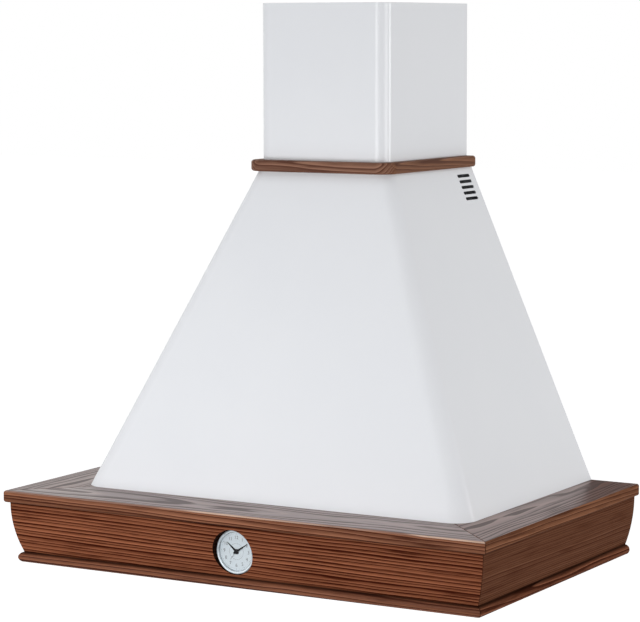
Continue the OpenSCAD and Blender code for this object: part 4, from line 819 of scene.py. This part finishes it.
waves = int((2 * mesh_half - wave_half) / wave_half)
strand_points = []
for i in range(waves + 1):
    x, y = -mesh_half + i * wave_half, (wave_swing if i % 2 else -wave_swing)
    strand_points += [(x, y - strand_half, -strand_low), (x, y + strand_half, -strand_high),
                      (x, y + strand_half, strand_low), (x, y - strand_half, strand_high)]
strand_faces = [(0, 1, 2, 3), tuple(4 * waves + k for k in (3, 2, 1, 0))]
strand_faces += [(4 * i + k, 4 * i + 4 + k, 4 * i + 4 + (k + 1) % 4, 4 * i + (k + 1) % 4)
                 for i in range(waves) for k in range(4)]
for side, end in ((-1, "left"), (1, "right")):
    x = side * filter_x
    start = (x, mesh_y0 + strand_pitch / 2 + 0.0002, lattice_z)
    strands = grown("lattice_" + end, row, skin("strand", strand_points, strand_faces), Start=start,
                    Count=int((mesh_y1 - mesh_y0) / strand_pitch), Step=(0, strand_pitch, 0),
                    Odd_Shift=(wave_half, 0, 0), Material=strand_metal)
    pack = box("pack", (x - mesh_half, mesh_y0, pack_z0), (x + mesh_half, mesh_y1, pack_z1))
    mesh = joined("filter_mesh_" + end, (pack, foil), (strands, strand_metal))
    fitted(new_piece("filter_mesh_" + end, mesh), "filter_" + end, "aluminium", "filter_mesh_" + end)

# Dark grey nylon latches that slide in the filters' front rails, and the switch panel: a dark face plate let
# into the underside panel, with five glossy black push buttons.
dark_plastic = plain_finish("dark_plastic", (0.1, 0.1, 0.103), (0.08, 0.08, 0.083), 0.45, 0.56, 0.00005)
dress(dark_plastic, "switch_panel", "filter_latch_left", "filter_latch_right")
dress(black_plastic, "button_light", "button_stop", "button_speed_1", "button_speed_2", "button_speed_3")

# The lamps: a turned and polished rim on a spun can, let into the underside panel, with a pressed frosted lens
# whose fine rings spread the light.
lamp_x, lamp_y, panel_z = 0.3, -0.464, -0.478
lamp_metal = plain_finish("lamp_metal", (0.82, 0.825, 0.83), (0.74, 0.745, 0.75), 0.1, 0.2, 0.000008, Metallic=1.0)
frosted = plain_finish("frosted_glass", (0.93, 0.93, 0.91), (0.88, 0.88, 0.86), 0.2, 0.34, 0.00003,
                       Coat_Weight=0.4, Coat_Roughness=0.08)
lamp_outline = [(0.034, 0.0), (0.034, -0.001)] + arc(0.0328, -0.0008, 0.0012, 0, -90, 6)[1:] + [
    (0.0278, -0.002), (0.027, -0.0014), (0.027, 0.002), (0.025, 0.002), (0.025, 0.021), (0, 0.021), (0, 0.03),
    (0.022, 0.03), (0.03, 0.024), (0.03, 0.0)]
lens_outline = [(0, 0.003), (0.0266, 0.003), (0.0267, 0.0006)]
ring_step, ring_depth, lens_drop = 0.00075, 0.0005, 0.001
lens_outline += [(0.0262 - ring_step * i, 0.0001 + (ring_depth if i % 2 else 0.0)) for i in range(34)] + [(0, 0.0002)]
for side, end in ((-1, "left"), (1, "right")):
    at = Matrix.Translation((side * lamp_x, lamp_y, panel_z))
    lamp = new_piece("lamp_" + end, lathe("lamp_" + end, lamp_outline, at), lamp_metal)
    fitted(lamp, "hood", "lamp_metal", "lamp_" + end)
    at = Matrix.Translation((side * lamp_x, lamp_y, panel_z - lens_drop))
    lens = new_piece("lamp_glass_" + end, lathe("lamp_glass_" + end, lens_outline, at), frosted, sharp=80)
    fitted(lens, "hood", "frosted_glass", "lamp_glass_" + end)

# The clock is a round insert pressed into the fascia's recess: a turned case with a satin bezel, a printed dial,
# black hands and a flat glass let into the bezel. The dial carries a minute track, upright hour numbers and a
# fine inner circle. Heights count from the bezel's seat.
case_outline = [(0.03, -0.015), (0.03, 0.0), (0.036, 0.0), (0.036, 0.0028)]
case_outline += arc(0.0338, 0.0028, 0.0022, 0, 80, 10)[1:]
case_outline += [(0.0331, 0.0049), (0.0321, 0.0043), (0.0321, 0.0042), (0.031, 0.0042), (0.031, 0.001),
                 (0.028, 0.001), (0.028, -0.013), (0.005, -0.013), (0.005, -0.015)]
bezel_metal = plain_finish("bezel_metal", (0.58, 0.63, 0.66), (0.52, 0.57, 0.6), 0.3, 0.4, 0.000008,
                           Metallic=0.25)
case = new_piece("clock_case", lathe("clock_case", case_outline, clock_turn, 128), bezel_metal, sharp=35)
fitted(case, "hood", "lamp_metal", "clock_case")

dial_face = plain_finish("dial_face", (0.78, 0.85, 0.89), (0.74, 0.82, 0.87), 0.42, 0.5, 0.000006)
dial_print = plain_finish("dial_print", (0.12, 0.14, 0.16), (0.18, 0.2, 0.22), 0.4, 0.5, 0.000004, 8.0)
dial_low, dial_top, dial_hole, dial_r = 0.001, 0.0015, 0.00136, 0.03085
print_low, print_top, print_half, circle_in, circle_out = 0.00149, 0.00153, 0.00002, 0.0128, 0.0131
disc = lathe("disc", [(dial_hole, dial_low), (dial_r, dial_low), (dial_r, dial_top), (dial_hole, dial_top)],
             clock_turn)
inner_circle = lathe("inner_circle", [(circle_in, print_low), (circle_out, print_low), (circle_out, print_top),
                                      (circle_in, print_top)], clock_turn)


def ticks(name, count, low, high, wide):
    """Marks round the dial, between two radii."""
    track_r = 0.028
    mark = box("mark", (low - track_r, -wide / 2, print_low), (high - track_r, wide / 2, print_top))
    mesh = grown(name, ring_of, mark, Count=count, Radius=track_r, Material=dial_print)
    mesh.transform(clock_turn)
    return mesh


def numeral(text, angle, radius, size):
    """An upright number on the dial, its angle clockwise from twelve."""
    curve = bpy.data.curves.new("numeral", "FONT")
    curve.body, curve.size, curve.align_x, curve.align_y = text, size, "CENTER", "CENTER"
    curve.extrude, curve.resolution_u = print_half, 5
    holder = linked("numeral", curve)
    bpy.context.view_layer.update()
    mesh = bpy.data.meshes.new_from_object(holder.evaluated_get(bpy.context.evaluated_depsgraph_get()))
    bpy.data.objects.remove(holder)
    mesh.materials.clear()
    x, y = radius * math.sin(math.radians(angle)), radius * math.cos(math.radians(angle))
    mesh.transform(clock_turn @ Matrix.Translation((x, y, print_top - print_half)))
    return mesh


parts = [(disc, dial_face), (inner_circle, dial_print),
         (ticks("minute_ticks", 60, 0.0282, 0.0294, 0.00025), dial_print),
         (ticks("hour_ticks", 12, 0.0276, 0.0294, 0.0006), dial_print)]
parts += [(numeral(str(hour), 30 * hour, 0.0226, 0.0078), dial_print) for hour in range(1, 13)]
fitted(new_piece("clock_dial", joined("clock_dial", *parts)), "hood", "dial_face", "clock_dial")

hand_paint = plain_finish("hand_paint", (0.006, 0.006, 0.007), (0.011, 0.011, 0.012), 0.4, 0.5, 0.000004,
                          Specular_IOR_Level=0.2)


def hand(name, level, length, width, tail, hub, angle, bore=0.0, arbor=0.0):
    """A hand stamped from sheet, with a bore through its hub and an arbor behind it.

    Level counts the hands from the dial up, and angle is clockwise from twelve."""
    z0, z1, arbor_foot = 0.00175 + level * 0.00055, 0.00215 + level * 0.00055, -0.003
    outline = [(-width / 3, -tail), (width / 3, -tail), (width / 2, -hub * 0.85)]
    outline += arc(0, 0, hub, -56, 56, 12)
    outline += [(width / 2, hub * 0.95), (width / 3.4, length * 0.62), (width / 9, length), (-width / 9, length),
                (-width / 3.4, length * 0.62), (-width / 2, hub * 0.95)]
    outline += arc(0, 0, hub, 124, 236, 12) + [(-width / 2, -hub * 0.85)]
    points = [(x, y, z) for z in (z0, z1) for x, y in outline]
    blade = new_piece(name + "_blade", skin(name, points, prism_faces(len(outline))), hand_paint)
    hole = arbor if arbor and bore else bore
    if hole:
        drill = lathe("drill", [(0, -0.001), (hole, -0.001), (hole, 0.005), (0, 0.005)], steps=48)
        carve(blade, new_piece("drill", drill, hand_paint))
    pieces = [(blade.data, hand_paint)]
    bpy.data.objects.remove(blade)
    if arbor:
        top = z1 if bore else z0
        tube = [(bore, top), (bore, arbor_foot), (arbor, arbor_foot), (arbor, top)]
        pieces.append((lathe("arbor", tube, steps=48), hand_paint))
    mesh = joined(name, *pieces)
    mesh.transform(clock_turn @ Matrix.Rotation(math.radians(-angle), 4, "Z"))
    return new_piece(name, mesh)


fitted(hand("hour_hand", 0, 0.022, 0.0036, 0.005, 0.0042, 310, 0.0009), "hour", "black_plastic", "hour_hand")
fitted(hand("minute_hand", 1, 0.025, 0.0034, 0.006, 0.004, 57, 0.00045, 0.00085), "minute", "black_plastic",
       "minute_hand")
fitted(hand("second_hand", 2, 0.018, 0.0007, 0.007, 0.0016, 218, 0.0, 0.0004), "second", "black_plastic",
       "second_hand")
dress(black_plastic, "clock_movement")
glass, tree = material("clear_glass")
finish_surface(tree, Base_Color=(0.02, 0.02, 0.02, 1), Alpha=0.07, Specular_IOR_Level=0.15,
               Roughness=spread_range(tree, worn(tree)[1], 0.3, 0.7, 0.02, 0.07))
dress(glass, "clock_glass")
